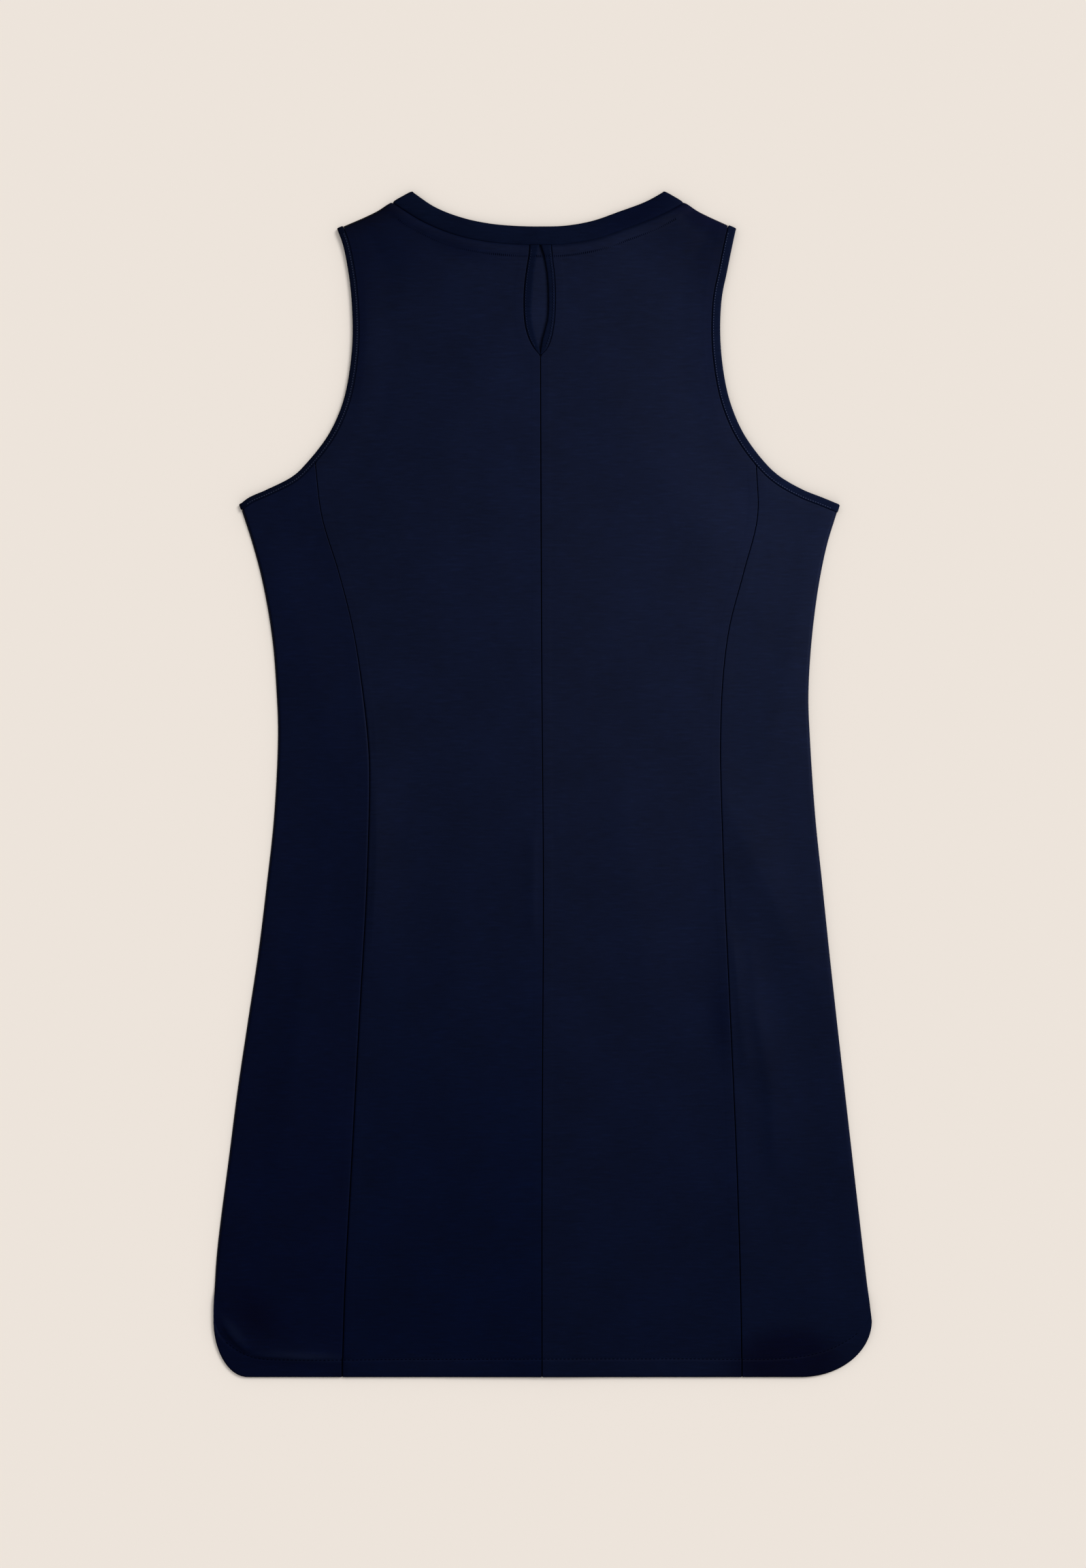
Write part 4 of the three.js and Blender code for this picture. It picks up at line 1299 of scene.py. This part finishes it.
@dataclass(frozen=True)
class BackPanel:
    """One of the four panels of the back, with its seams, hem and neck strip in relief."""

    pattern: Pattern
    lie: Lie
    side: Side
    thickness: float = 0.95
    step: float = 2.6
    hem_rows: int = 16
    seam_gap: float = 0.36
    roll_width: float = 0.7
    roll_depth: float = 0.3
    pull_up: float = 500.0
    pull_fade: float = 80.0
    pull_widens: float = 1.2
    pull_deepens: float = 1.6
    right_pull: float = 0.35
    allowance_width: float = 6.9
    allowance_fade: float = 1.4
    allowance_rise: float = 0.05
    hem_rise: float = 0.4
    hem_step: float = 1.2
    hem_step_from: float = -0.4
    hem_groove: float = 0.4
    groove_width: float = 0.7
    hem_edge_drop: float = 0.5
    hem_edge_width: float = 1.2
    strip_width: float = 8.1
    strip_fade: float = 0.8
    strip_rise: float = 0.75
    strip_fall: float = 0.6
    strip_flatness: float = 2.4
    band_groove: float = 0.95
    band_groove_width: float = 2.2
    band_groove_fall: float = 1.5
    pucker: float = 0.16
    least_pucker: float = 0.25
    pucker_size: float = 3.4
    pucker_layer: float = 3.0
    pucker_reach: float = 1.0
    pucker_fade: float = 5.0

    def seams(self) -> list[Path]:
        """The lines along which this panel is sewn."""
        raise NotImplementedError

    def shaped(self) -> tuple[float, ...]:
        """How much each seam pulls deeper towards the hem."""
        raise NotImplementedError

    def pull(self) -> float:
        """How much the shaped seam does, which is less on the right."""
        return 1.0 if self.side is Side.LEFT else self.right_pull

    def hem_ends(self) -> tuple[float, float]:
        """Where the panel starts and ends along the hem, from left to right."""
        raise NotImplementedError

    def patch(self) -> Patch:
        """The panel above the hem's stitch line."""
        raise NotImplementedError

    def columns(self) -> np.ndarray:
        """Shares of the panel's width at which its points lie."""
        raise NotImplementedError

    def relief(self, points: np.ndarray) -> np.ndarray:
        """Find what seams, hem and neck strip add to the height.

        Args:
            points: Points on the flat, one in each row.

        Returns:
            One height for each.
        """
        height = np.zeros(len(points))
        low = near(points[:, 1], self.pull_up, self.pull_fade)
        for seam, shaped in zip(self.seams(), self.shaped()):
            away = seam.distance(points)
            width = self.roll_width * (1.0 + self.pull_widens * low * shaped)
            depth = self.roll_depth * (1.0 + self.pull_deepens * low * shaped)
            height -= depth * np.clip(1.0 - away / width, 0.0, 1.0) ** 2
            flat = self.allowance_width - self.allowance_fade / 2
            height += self.allowance_rise * near(away, flat, self.allowance_fade)
        line = self.pattern.hem_line
        above_line = points[:, 1] > np.interp(points[:, 0], line.points[:, 0], line.points[:, 1])
        off_line = line.distance(points) * np.where(above_line, 1.0, -1.0)
        height += self.hem_rise * near(off_line, self.hem_step_from, self.hem_step)
        height -= self.hem_groove * np.exp(-((off_line / self.groove_width) ** 2))
        height += self._puckers(points, off_line)
        inside_edge = self.pattern.hem.distance(points) / self.hem_edge_width
        height -= self.hem_edge_drop * np.clip(1.0 - inside_edge, 0.0, 1.0) ** 2
        below_band = self.pattern.back_neck.seam().distance(points)
        off_middle = np.abs(np.clip(below_band / self.strip_width, 0.0, 1.0) * 2.0 - 1.0)
        pillow = 1.0 - self.strip_fall * off_middle**self.strip_flatness
        flat = self.strip_width - self.strip_fade / 2
        height += self.strip_rise * pillow * near(below_band, flat, self.strip_fade)
        in_groove = np.clip(1.0 - below_band / self.band_groove_width, 0.0, 1.0)
        return height - self.band_groove * in_groove**self.band_groove_fall

    def build(self, name: str, node: str, material: bpy.types.Material) -> bpy.types.Object:
        """Model the panel.

        Args:
            name: The piece's name.
            node: The CAD node that it replaces.
            material: Its finish.

        Returns:
            The panel.
        """
        u, v = self.columns(), self._rows()
        patch = self.patch()
        start, end = self.hem_ends()
        hem_share = start + (end - start) * u
        hem_edge = self.pattern.hem.at(hem_share)
        hem_seam = patch.bottom.at(u)

        def place(column: np.ndarray, row: np.ndarray) -> np.ndarray:
            """Put the grid's points on the panel."""
            level = v[row]
            in_hem = np.clip(level + 1.0, 0.0, 1.0)[:, None]
            points = hem_edge[column] * (1 - in_hem) + hem_seam[column] * in_hem
            above = level > 0
            points[above] = patch.at(u[column[above]], level[above])
            return np.column_stack((points, self.lie.top(points, self.relief(points))))

        panel = thicken(grid(len(u), len(v), place), self.thickness)
        return finished(name, panel, material, [node])

    def _rows(self) -> np.ndarray:
        """Levels of the rows: -1 to 0 through the hem, and 0 to 1 above its stitch line."""
        hem = np.linspace(-1.0, 0.0, self.hem_rows)
        length = self.patch().left.length
        above = stations(length, ABOVE_HEM, self.top_stations(), self.step)
        return np.concatenate((hem, above))

    def top_stations(self) -> tuple[float, ...]:
        """Distances of the last rows from the panel's top."""
        return SEWN

    def beside_seam(self) -> tuple[float, ...]:
        """Distances of the first columns from a seam, from the gap between the panels on."""
        return self.seam_gap, *(distance for distance in SEWN if distance > self.seam_gap)

    def _puckers(self, points: np.ndarray, off_line: np.ndarray) -> np.ndarray:
        """The small gathers that the hem's stitches pull up."""
        across = points[:, 0]
        strength = sum(
            near(np.abs(across - gathers.across), gathers.reach, gathers.fade) for gathers in HEM_GATHERS
        )
        spots = [Vector((value / self.pucker_size, 0.0, self.pucker_layer)) for value in across]
        waves = np.array([noise.noise(spot) for spot in spots])
        fading = near(off_line, self.pucker_reach, self.pucker_fade)
        return self.pucker * (self.least_pucker + strength) * waves * fading


@dataclass(frozen=True)
class CentrePanel(BackPanel):
    """A panel between the middle seam and a shaped seam, up to the neckband."""

    width: float = 151.0

    def seams(self) -> list[Path]:
        """The middle seam, the keyhole binding's and the shaped seam."""
        return [
            self.pattern.centre_seam,
            self.pattern.keyhole_seam(self.side),
            self.pattern.shaped_seams[self.side],
            self.pattern.back_armholes[self.side].seam(),
        ]

    def shaped(self) -> tuple[float, ...]:
        """The shaped seam is the third."""
        return 0.0, 0.0, self.pull(), 0.0

    def hem_ends(self) -> tuple[float, float]:
        """From the shaped seam to the middle on the left, and on from it on the right."""
        shaped, middle = getattr(SHAPED_SEAMS[0], self.side.word), CENTRE_SEAM[0].across
        left, right = sorted((shaped, middle))
        return hem_share_across(self.pattern, left), hem_share_across(self.pattern, right)

    def patch(self) -> Patch:
        """The panel above the hem's stitch line."""
        pattern, side = self.pattern, self.side
        share = pattern.seam_share(side)
        end = 1.0 if side is Side.LEFT else 0.0
        outer = above(pattern.shaped_seams[side], pattern.hem_depth)
        outer = outer.then(pattern.back_armholes[side].seam(share, end))
        inner = above(pattern.centre_seam, pattern.hem_depth).then(pattern.keyhole_seam(side))
        band_end = 0.0 if side is Side.LEFT else 1.0
        band = pattern.neck_line(band_end, 1.0 - band_end)
        shoulder = (LEFT_SHOULDER if side is Side.LEFT else RIGHT_SHOULDER)[1]
        fold = spline([Spot(*outer.at(1.0)), shoulder, Spot(*band.at(0.0))])
        reach = band_share_across(band, inner.at(1.0)[0])
        top = fold.then(band.part(0.0, reach))
        start, stop = self.hem_ends()
        bottom = pattern.hem_trim.seam(start, stop)
        if side is Side.LEFT:
            return Patch(bottom, top, outer, inner)
        return Patch(bottom, top.backwards(), inner, outer)

    def columns(self) -> np.ndarray:
        """Finer near the two seams."""
        return stations(self.width, self.beside_seam(), self.beside_seam(), self.step)

    def top_stations(self) -> tuple[float, ...]:
        """Rows that carry both the shoulder's fold and the strip below the neckband."""
        return UNDER_NECKBAND


@dataclass(frozen=True)
class SidePanel(BackPanel):
    """A panel between a shaped seam and the fold at the side, up to the armhole."""

    width: float = 100.0
    clear: float = 14.0

    def seams(self) -> list[Path]:
        """The shaped seam and the armhole binding's."""
        return [self.pattern.shaped_seams[self.side], self.pattern.back_armholes[self.side].seam()]

    def shaped(self) -> tuple[float, ...]:
        """The shaped seam is the first."""
        return self.pull(), 0.0

    def hem_ends(self) -> tuple[float, float]:
        """From the side to the shaped seam on the left, and on from it on the right."""
        shaped = hem_share_across(self.pattern, getattr(SHAPED_SEAMS[0], self.side.word))
        return (1.0, shaped) if self.side is Side.LEFT else (shaped, 0.0)

    def patch(self) -> Patch:
        """The panel above the hem's stitch line."""
        pattern, side = self.pattern, self.side
        share = pattern.seam_share(side)
        underarm = 0.0 if side is Side.LEFT else 1.0
        inner = above(pattern.shaped_seams[side], pattern.hem_depth)
        trim = pattern.back_armholes[side]
        foot = pattern.hem_trim.seam_at(1.0 if side is Side.LEFT else 0.0)
        head = trim.seam_at(underarm)
        low, high = foot[1] + self.clear, head[1] - self.clear
        inside = [spot for spot in column(SIDES, side) if low < spot.up < high]
        outer = spline([Spot(*foot), *inside, Spot(*head)])
        top = trim.seam(min(underarm, share), max(underarm, share))
        start, end = self.hem_ends()
        bottom = pattern.hem_trim.seam(start, end)
        if side is Side.LEFT:
            return Patch(bottom, top, outer, inner)
        return Patch(bottom, top, inner, outer)

    def columns(self) -> np.ndarray:
        """Finer near the seam, and round the fold."""
        ends = (FOLDED_OVER, self.beside_seam())
        return stations(self.width, *(ends if self.side is Side.LEFT else reversed(ends)), self.step)


def hem_share_across(pattern: Pattern, across: float) -> float:
    """The share of the hem edge, which runs from right to left, at a place across the dress."""
    share = np.linspace(1.0, 0.0, FINE * 8)
    return float(np.interp(across, pattern.hem.at(share)[:, 0], share))


def band_share_across(band: Path, across: float) -> float:
    """The share of a stretch of band seam at a place across the dress."""
    share = np.linspace(0.0, 1.0, FINE * 4)
    line = band.at(share)[:, 0]
    order = np.argsort(line)
    return float(np.interp(across, line[order], share[order]))


def above(path: Path, up: float) -> Path:
    """The part of a path, which rises, from a given height."""
    start = float(np.interp(up, path.points[:, 1], path.along)) / path.length
    return path.part(start, 1.0)


@dataclass(frozen=True)
class Front:
    """The front, one plain piece under the back, from its CAD node's outline."""

    node: str = "front"
    cell: float = 9.0
    flat_angle: float = 0.5
    edge_angle: float = 1.0
    edge_softness: float = 0.28
    upper_side: float = 1.1
    sag: float = 0.12
    sag_middle: float = 0.6
    sag_wide: float = 26.0
    sag_long: float = 40.0
    sag_layer: float = 5.0

    def build(self, material: bpy.types.Material) -> bpy.types.Object:
        """Model the front.

        Args:
            material: Its finish.

        Returns:
            The front.
        """
        sheet = bmesh.new()
        sheet.from_mesh(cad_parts[self.node].data)
        to_mm = Matrix.Scale(1.0 / MM, 4) @ Matrix.Translation((0.0, LENGTH / 2 * MM, 0.0))
        bmesh.ops.transform(sheet, matrix=to_mm, verts=sheet.verts)
        bmesh.ops.remove_doubles(sheet, verts=sheet.verts, dist=10 * SAME)
        flat = math.radians(self.flat_angle)
        bmesh.ops.dissolve_limit(
            sheet, angle_limit=flat, verts=sheet.verts, edges=sheet.edges, delimit=set()
        )
        self._cut(sheet)
        rim = [edge for edge in sheet.edges if edge.calc_face_angle(0.0) > self.edge_angle]
        bmesh.ops.bevel(
            sheet,
            geom=rim,
            affect="EDGES",
            offset=self.edge_softness,
            segments=2,
            profile=0.5,
            material=-1,
        )
        for vertex in sheet.verts:
            if vertex.co.z > self.upper_side:
                across, up = vertex.co.x / self.sag_wide, vertex.co.y / self.sag_long
                uneven = noise.noise(Vector((across, up, self.sag_layer)))
                vertex.co.z += self.sag * (uneven - self.sag_middle)
        return finished("cloth_front", sheet, material, [self.node])

    def _cut(self, sheet: bmesh.types.BMesh) -> None:
        """Cut the plain faces into cells."""
        low = Vector(np.min([vertex.co for vertex in sheet.verts], axis=0))
        high = Vector(np.max([vertex.co for vertex in sheet.verts], axis=0))
        for axis in (Vector((1, 0, 0)), Vector((0, 1, 0))):
            start, stop = low.dot(axis), high.dot(axis)
            for place in np.arange(start + self.cell, stop - self.cell / 2, self.cell):
                whole = [*sheet.verts, *sheet.edges, *sheet.faces]
                spot = axis * place
                bmesh.ops.bisect_plane(sheet, geom=whole, plane_co=spot, plane_no=axis, dist=SAME)


@dataclass(frozen=True)
class FrontAtKeyhole:
    """The inside of the front where it lies up against the keyhole, as a thin piece."""

    lie: Lie
    left: float = -24.0
    right: float = 18.0
    foot: float = 768.0
    head: float = 869.0
    clearance: float = 0.12
    thickness: float = 0.15
    cell: float = 3.0

    def build(self, material: bpy.types.Material) -> bpy.types.Object:
        """Model this part of the front.

        Args:
            material: Its finish.

        Returns:
            The part.
        """
        columns = round((self.right - self.left) / self.cell) + 1
        rows = round((self.head - self.foot) / self.cell) + 1

        def place(column: np.ndarray, row: np.ndarray) -> np.ndarray:
            """Put the grid's points just under the back."""
            across = self.left + (self.right - self.left) * column / (columns - 1)
            up = self.foot + (self.head - self.foot) * row / (rows - 1)
            points = np.column_stack((across, up))
            return np.column_stack((points, self.lie.contact(points) - self.clearance))

        part = thicken(grid(columns, rows, place), self.thickness)
        return finished("cloth_front_at_keyhole", part, material)


@dataclass(frozen=True)
class Band:
    """A doubled strip of jersey with a pillowed section."""

    lie: Lie
    thickness: float = 1.8
    around: int = 22
    step: float = 3.0
    bulge: float = 5.0

    def section(self) -> np.ndarray:
        """Work out the strip's section.

        Returns:
            Shares of the width, and of half the thickness, for the points round it.
        """
        half = self.around // 2
        angles = np.linspace(0.0, math.pi, half, endpoint=False)
        share = (1.0 - np.cos(angles)) / 2.0
        level = (1.0 - np.abs(2.0 * share - 1.0) ** self.bulge) ** 0.5
        top = np.column_stack((share, level))
        bottom = np.column_stack((1.0 - share, -level))
        return np.vstack((top, bottom))

    def strip_height(self, points: np.ndarray) -> np.ndarray:
        """The middle of the strip's thickness over points on the flat."""
        return self.lie.contact(points) + self.thickness / 2 + self.lie.lift(points)


@dataclass(frozen=True)
class LoopBand(Band):
    """A band that runs round an opening: along the back, over a fold, and back along the front."""

    fold_trim: float = 1.8
    turns: int = 8

    def build(
        self,
        name: str,
        node: str,
        back: Trim,
        front: Trim,
        material: bpy.types.Material,
    ) -> bpy.types.Object:
        """Model the band.

        Args:
            name: The piece's name.
            node: The CAD node that it replaces.
            back: Its back half.
            front: Its front half, with the same ends.
            material: Its finish.

        Returns:
            The band.
        """
        length = back.edge.length
        share = stations(length, (self.fold_trim,), (self.fold_trim,), self.step)
        back_height = self.strip_height(back.edge.at(share))
        front_height = np.full(len(share), self.thickness / 2)
        up, down = np.array((0.0, 0.0, 1.0)), np.array((0.0, 0.0, -1.0))
        backs = [self._ring(back, part, height, up) for part, height in zip(share, back_height)]
        fronts = [self._ring(front, part, height, down) for part, height in zip(share, front_height)]
        end_way = self._square(back.across(1.0), back.edge.at(1.0) - back.edge.at(1.0 - share[0]))
        start_way = self._square(back.across(0.0), back.edge.at(0.0) - back.edge.at(share[0]))
        rings = [
            *backs,
            *self._over(back, front, share[-1], back_height[-1], end_way),
            *reversed(fronts),
            *reversed(self._over(back, front, share[0], back_height[0], start_way)),
        ]
        return finished(name, sweep(np.array(rings), looped=True), material, [node])

    def _ring(self, trim: Trim, share: float, height: float, normal: np.ndarray) -> np.ndarray:
        """One section of a flat half."""
        section = self.section()
        start = np.array((*trim.edge.at(share), height))
        across = np.array((*trim.across(share), 0.0))
        return start + section[:, :1] * across + section[:, 1:] * normal * self.thickness / 2

    def _over(
        self, back: Trim, front: Trim, share: float, height: float, way: np.ndarray
    ) -> list[np.ndarray]:
        """The sections that turn from the back over the fold to the front."""
        section = self.section()
        low = self.thickness / 2
        radius = (height - low) / 2
        rings = []
        for step in range(1, self.turns):
            part = step / self.turns
            turn = math.pi * part
            edge = back.edge.at(share) * (1 - part) + front.edge.at(share) * part
            across = back.across(share) * (1 - part) + front.across(share) * part
            flat = edge + way * radius * math.sin(turn)
            start = np.array((*flat, low + radius + radius * math.cos(turn)))
            normal = np.array((*(way * math.sin(turn)), math.cos(turn)))
            wide = np.array((*across, 0.0))
            rings.append(start + section[:, :1] * wide + section[:, 1:] * normal * self.thickness / 2)
        return rings

    def _square(self, across: np.ndarray, away: np.ndarray) -> np.ndarray:
        """The unit vector square to a band's width that leads away from it."""
        square = np.array((-across[1], across[0])) / np.linalg.norm(across)
        return square if square @ away > 0 else -square


@dataclass(frozen=True)
class KeyholeBinding(Band):
    """The binding on one edge of the keyhole, closed at both ends."""

    thickness: float = 1.3
    step: float = 2.0
    bulge: float = 9.0
    least_width: float = 1.1
    gap: float = 0.1
    strip_foot: float = 856.3
    strip_head: float = 857.3
    strip_rise: float = 0.45

    def build(
        self,
        pattern: Pattern,
        side: Side,
        material: bpy.types.Material,
    ) -> bpy.types.Object:
        """Model the binding.

        Args:
            pattern: The cut of the dress.
            side: Which side of the keyhole it is on.
            material: Its finish.

        Returns:
            The binding.
        """
        seam = pattern.keyhole_seam(side)
        opening = pattern.keyhole_edge(side)
        share = stations(seam.length, AT_KEYHOLE_FOOT, AT_KEYHOLE_HEAD, self.step)
        starts = seam.at(share)
        ends_across = np.interp(starts[:, 1], opening.points[:, 1], opening.points[:, 0])
        sign = side.value
        width = np.maximum(sign * (starts[:, 0] - ends_across) - self.gap, self.least_width)
        starts[:, 0] -= sign * self.gap
        on_strip = smoothstep(starts[:, 1], self.strip_foot, self.strip_head)
        height = self.strip_height(starts) + self.strip_rise * on_strip
        section = self.section()
        rings = [
            np.array((*start, level))
            + section[:, :1] * np.array((-sign * wide, 0.0, 0.0))
            + section[:, 1:] * np.array((0.0, 0.0, self.thickness / 2))
            for start, level, wide in zip(starts, height, width)
        ]
        strip = sweep(np.array(rings), looped=False)
        node = f"keyhole_binding_{side.word}"
        return finished(f"cloth_{node}", strip, material, [node])


@dataclass(frozen=True)
class Stitching:
    """A run of stitches along a line, or across it, pulled tighter here and there."""

    spacing: float
    length: float
    radius: float = 0.24
    crosswise: bool = False
    uneven: float = 0.0
    uneven_size: float = 22.0

    def build(
        self,
        name: str,
        line: Path,
        height: Callable[[np.ndarray], np.ndarray],
        material: bpy.types.Material,
    ) -> bpy.types.Object:
        """Lay the stitches.

        Args:
            name: The piece's name.
            line: Where the stitches' middles lie.
            height: Gives the height of their middles.
            material: The thread.

        Returns:
            All the stitches, as one piece.
        """
        count = max(2, round(line.length / self.spacing))
        share = (np.arange(count) + 0.5) / count
        middles = line.at(share)
        inwards = line.inwards(share)
        heights = height(middles)
        threads = bmesh.new()
        for middle, square, level in zip(middles, inwards, heights):
            angle = math.atan2(square[1], square[0])
            if not self.crosswise:
                angle += math.pi / 2
            pull = noise.noise(Vector((*middle, 0.0)) / self.uneven_size)
            thin = self.radius * (1.0 - self.uneven * min(max(0.5 + pull, 0.0), 1.0))
            size = Vector((self.length / 2, thin, thin))
            place = Matrix.LocRotScale(Vector((*middle, level)), Matrix.Rotation(angle, 3, "Z"), size)
            bmesh.ops.create_uvsphere(threads, u_segments=6, v_segments=5, radius=1.0, matrix=place)
        return finished(name, threads, material)


@dataclass(frozen=True)
class Studio:
    """The camera above the dress, the floor, and the light."""

    camera_height: float = 2.6
    sensor: float = 36.0
    floor_size: float = 200.0
    floor_up: float = -0.0001
    world: Colour = (0.6, 0.6, 0.6)
    sun_strength: float = 1.4
    sun_turn: float = 135.0
    sun_tilt: float = 40.0
    sun_softness: float = 24.0
    rake_power: float = 22.0
    rake_place: tuple[float, float, float] = (0.66, 0.34, 0.5)
    rake_size: float = 0.4

    def build(self) -> None:
        """Set up the camera, floor and light."""
        scene = bpy.context.scene
        scene.view_settings.view_transform = "Standard"
        camera = bpy.data.objects.new("camera", bpy.data.cameras.new("camera"))
        camera.location = (0.5 * PIXEL * MM, 0.5 * PIXEL * MM, self.camera_height)
        camera.data.sensor_width = self.sensor
        camera.data.lens = self.sensor * self.camera_height / (PHOTO_HEIGHT * PIXEL * MM)
        scene.collection.objects.link(camera)
        scene.camera = camera

        world = bpy.data.worlds.new("studio")
        world.use_nodes = True
        world.node_tree.nodes["Background"].inputs["Color"].default_value = (*self.world, 1.0)
        scene.world = world
        self._floor()
        self._sun()
        self._rake()

    def _floor(self) -> None:
        """Lay the floor just under the dress."""
        sheet = bmesh.new()
        bmesh.ops.create_grid(sheet, x_segments=1, y_segments=1, size=self.floor_size / 2)
        bmesh.ops.translate(sheet, vec=(0.0, 0.0, self.floor_up), verts=sheet.verts)
        mesh = bpy.data.meshes.new("floor")
        sheet.to_mesh(mesh)
        sheet.free()
        mesh.materials.append(Paper().make())
        floor = bpy.data.objects.new("floor", mesh)
        bpy.context.scene.collection.objects.link(floor)

    def _sun(self) -> None:
        """Hang the soft main light at the upper right."""
        light = bpy.data.lights.new("main_light", "SUN")
        light.energy = self.sun_strength
        light.angle = math.radians(self.sun_softness)
        lamp = bpy.data.objects.new("main_light", light)
        lamp.rotation_euler = (math.radians(self.sun_tilt), 0.0, math.radians(self.sun_turn))
        bpy.context.scene.collection.objects.link(lamp)

    def _rake(self) -> None:
        """Set a low light at the upper right that shows the relief of the cloth, on the dress alone."""
        light = bpy.data.lights.new("low_light", "AREA")
        light.energy = self.rake_power
        light.size = self.rake_size
        lamp = bpy.data.objects.new("low_light", light)
        lamp.location = self.rake_place
        lamp.rotation_euler = (-Vector(self.rake_place)).to_track_quat("-Z", "Y").to_euler()
        lamp.visible_camera = False
        bpy.context.scene.collection.objects.link(lamp)
        lamp.light_linking.receiver_collection = bpy.data.collections["dress"]


# how far the stitches lie from the seams and below the tops of the bindings
BELOW_STRIP = 0.5
INSIDE_ARMHOLE_SEAM = 1.3
INSIDE_KEYHOLE_SEAM = 1.4
SUNK_IN_BAND = 0.05


def make_dress() -> list[bpy.types.Object]:
    """Model every piece of the dress.

    Returns:
        The pieces.
    """
    pattern = Pattern()
    lie = Lie(pattern)
    trim = JERSEYS["trim"].make()
    armhole_trims = {Side.LEFT: JERSEYS["armhole_left"].make(), Side.RIGHT: trim}
    keyhole_trims = {Side.LEFT: JERSEYS["keyhole_left"].make(), Side.RIGHT: trim}
    front = Front().build(JERSEYS["front"].make())
    front_at_keyhole = FrontAtKeyhole(lie).build(JERSEYS["front_at_keyhole"].make())
    pieces = [front, front_at_keyhole]

    panels = {}
    for node, panel in (
        ("back_center_left", CentrePanel(pattern, lie, Side.LEFT)),
        ("back_side_left", SidePanel(pattern, lie, Side.LEFT)),
        ("back_center_right", CentrePanel(pattern, lie, Side.RIGHT)),
        ("back_side_right", SidePanel(pattern, lie, Side.RIGHT)),
    ):
        panels[node] = panel.build(f"cloth_{node}", node, JERSEYS[node].make())
    pieces.extend(panels.values())

    neckband = LoopBand(lie).build(
        "cloth_neckband", "neckband", pattern.back_neck, pattern.front_neck, trim
    )
    bindings = {}
    for side in Side:
        node = f"armhole_binding_{side.word}"
        bindings[side] = LoopBand(lie, around=16, step=2.6, bulge=9.0).build(
            f"cloth_{node}",
            node,
            pattern.back_armholes[side],
            pattern.front_armholes[side],
            armhole_trims[side],
        )
    edgings = {
        side: KeyholeBinding(lie, around=16).build(pattern, side, keyhole_trims[side]) for side in Side
    }
    pieces.extend((neckband, *bindings.values(), *edgings.values()))
    stitches = make_stitches(pattern, lie)
    pieces.extend(stitches.values())

    return pieces


def make_stitches(pattern: Pattern, lie: Lie) -> dict[str, bpy.types.Object]:
    """Sew the seams that show: dark on the body, light on the armholes and faint on the keyhole.

    Args:
        pattern: The cut of the dress.
        lie: How the cloth lies.

    Returns:
        The runs of stitches, by name.
    """
    light, faint, dark = LIGHT_THREAD.make(), FAINT_THREAD.make(), DARK_THREAD.make()
    strip = LoopBand(lie)
    panel = CentrePanel(pattern, lie, Side.LEFT)

    def on_panel(rise: float) -> Callable[[np.ndarray], np.ndarray]:
        """Heights just over the panels, relief and all."""
        return lambda points: lie.top(points, panel.relief(points)) + rise

    def on_band(points: np.ndarray) -> np.ndarray:
        """Heights just over a binding."""
        return strip.strip_height(points) + strip.thickness / 2 - SUNK_IN_BAND

    along_hem = Stitching(spacing=3.1, length=2.2)
    below_strip = Stitching(spacing=1.5, length=2.5, radius=0.36, crosswise=True, uneven=0.75)
    on_binding = Stitching(spacing=2.0, length=1.3)
    hem_line = pattern.hem_line.part(0.04, 0.96)
    neck_line = pattern.back_neck.seam(0.06, 0.94, beyond=panel.strip_width + BELOW_STRIP)
    runs = {
        "hem": along_hem.build("stitches_hem", hem_line, on_panel(0.1), dark),
        "neck": below_strip.build("stitches_neck", neck_line, on_panel(0.06), dark),
    }
    for side in Side:
        line = pattern.back_armholes[side].seam(0.02, 0.98, beyond=-INSIDE_ARMHOLE_SEAM)
        name = f"armhole_{side.word}"
        runs[name] = on_binding.build(f"stitches_{name}", line, on_band, light)
        seam = pattern.keyhole_seam(side).points - np.array((side.value * INSIDE_KEYHOLE_SEAM, 0.0))
        name = f"keyhole_{side.word}"
        runs[name] = on_binding.build(f"stitches_{name}", Path(seam).part(0.1, 0.96), on_band, faint)
    return runs


def main() -> None:
    """Build the studio and the dress, and report each piece."""
    logging.basicConfig(level=logging.INFO, format="%(message)s")
    collection = bpy.data.collections.new("dress")
    bpy.context.scene.collection.children.link(collection)
    for piece in make_dress():
        log.info("%s: %d faces", piece.name, len(piece.data.polygons))
    Studio().build()


if __name__ == "__main__":
    main()
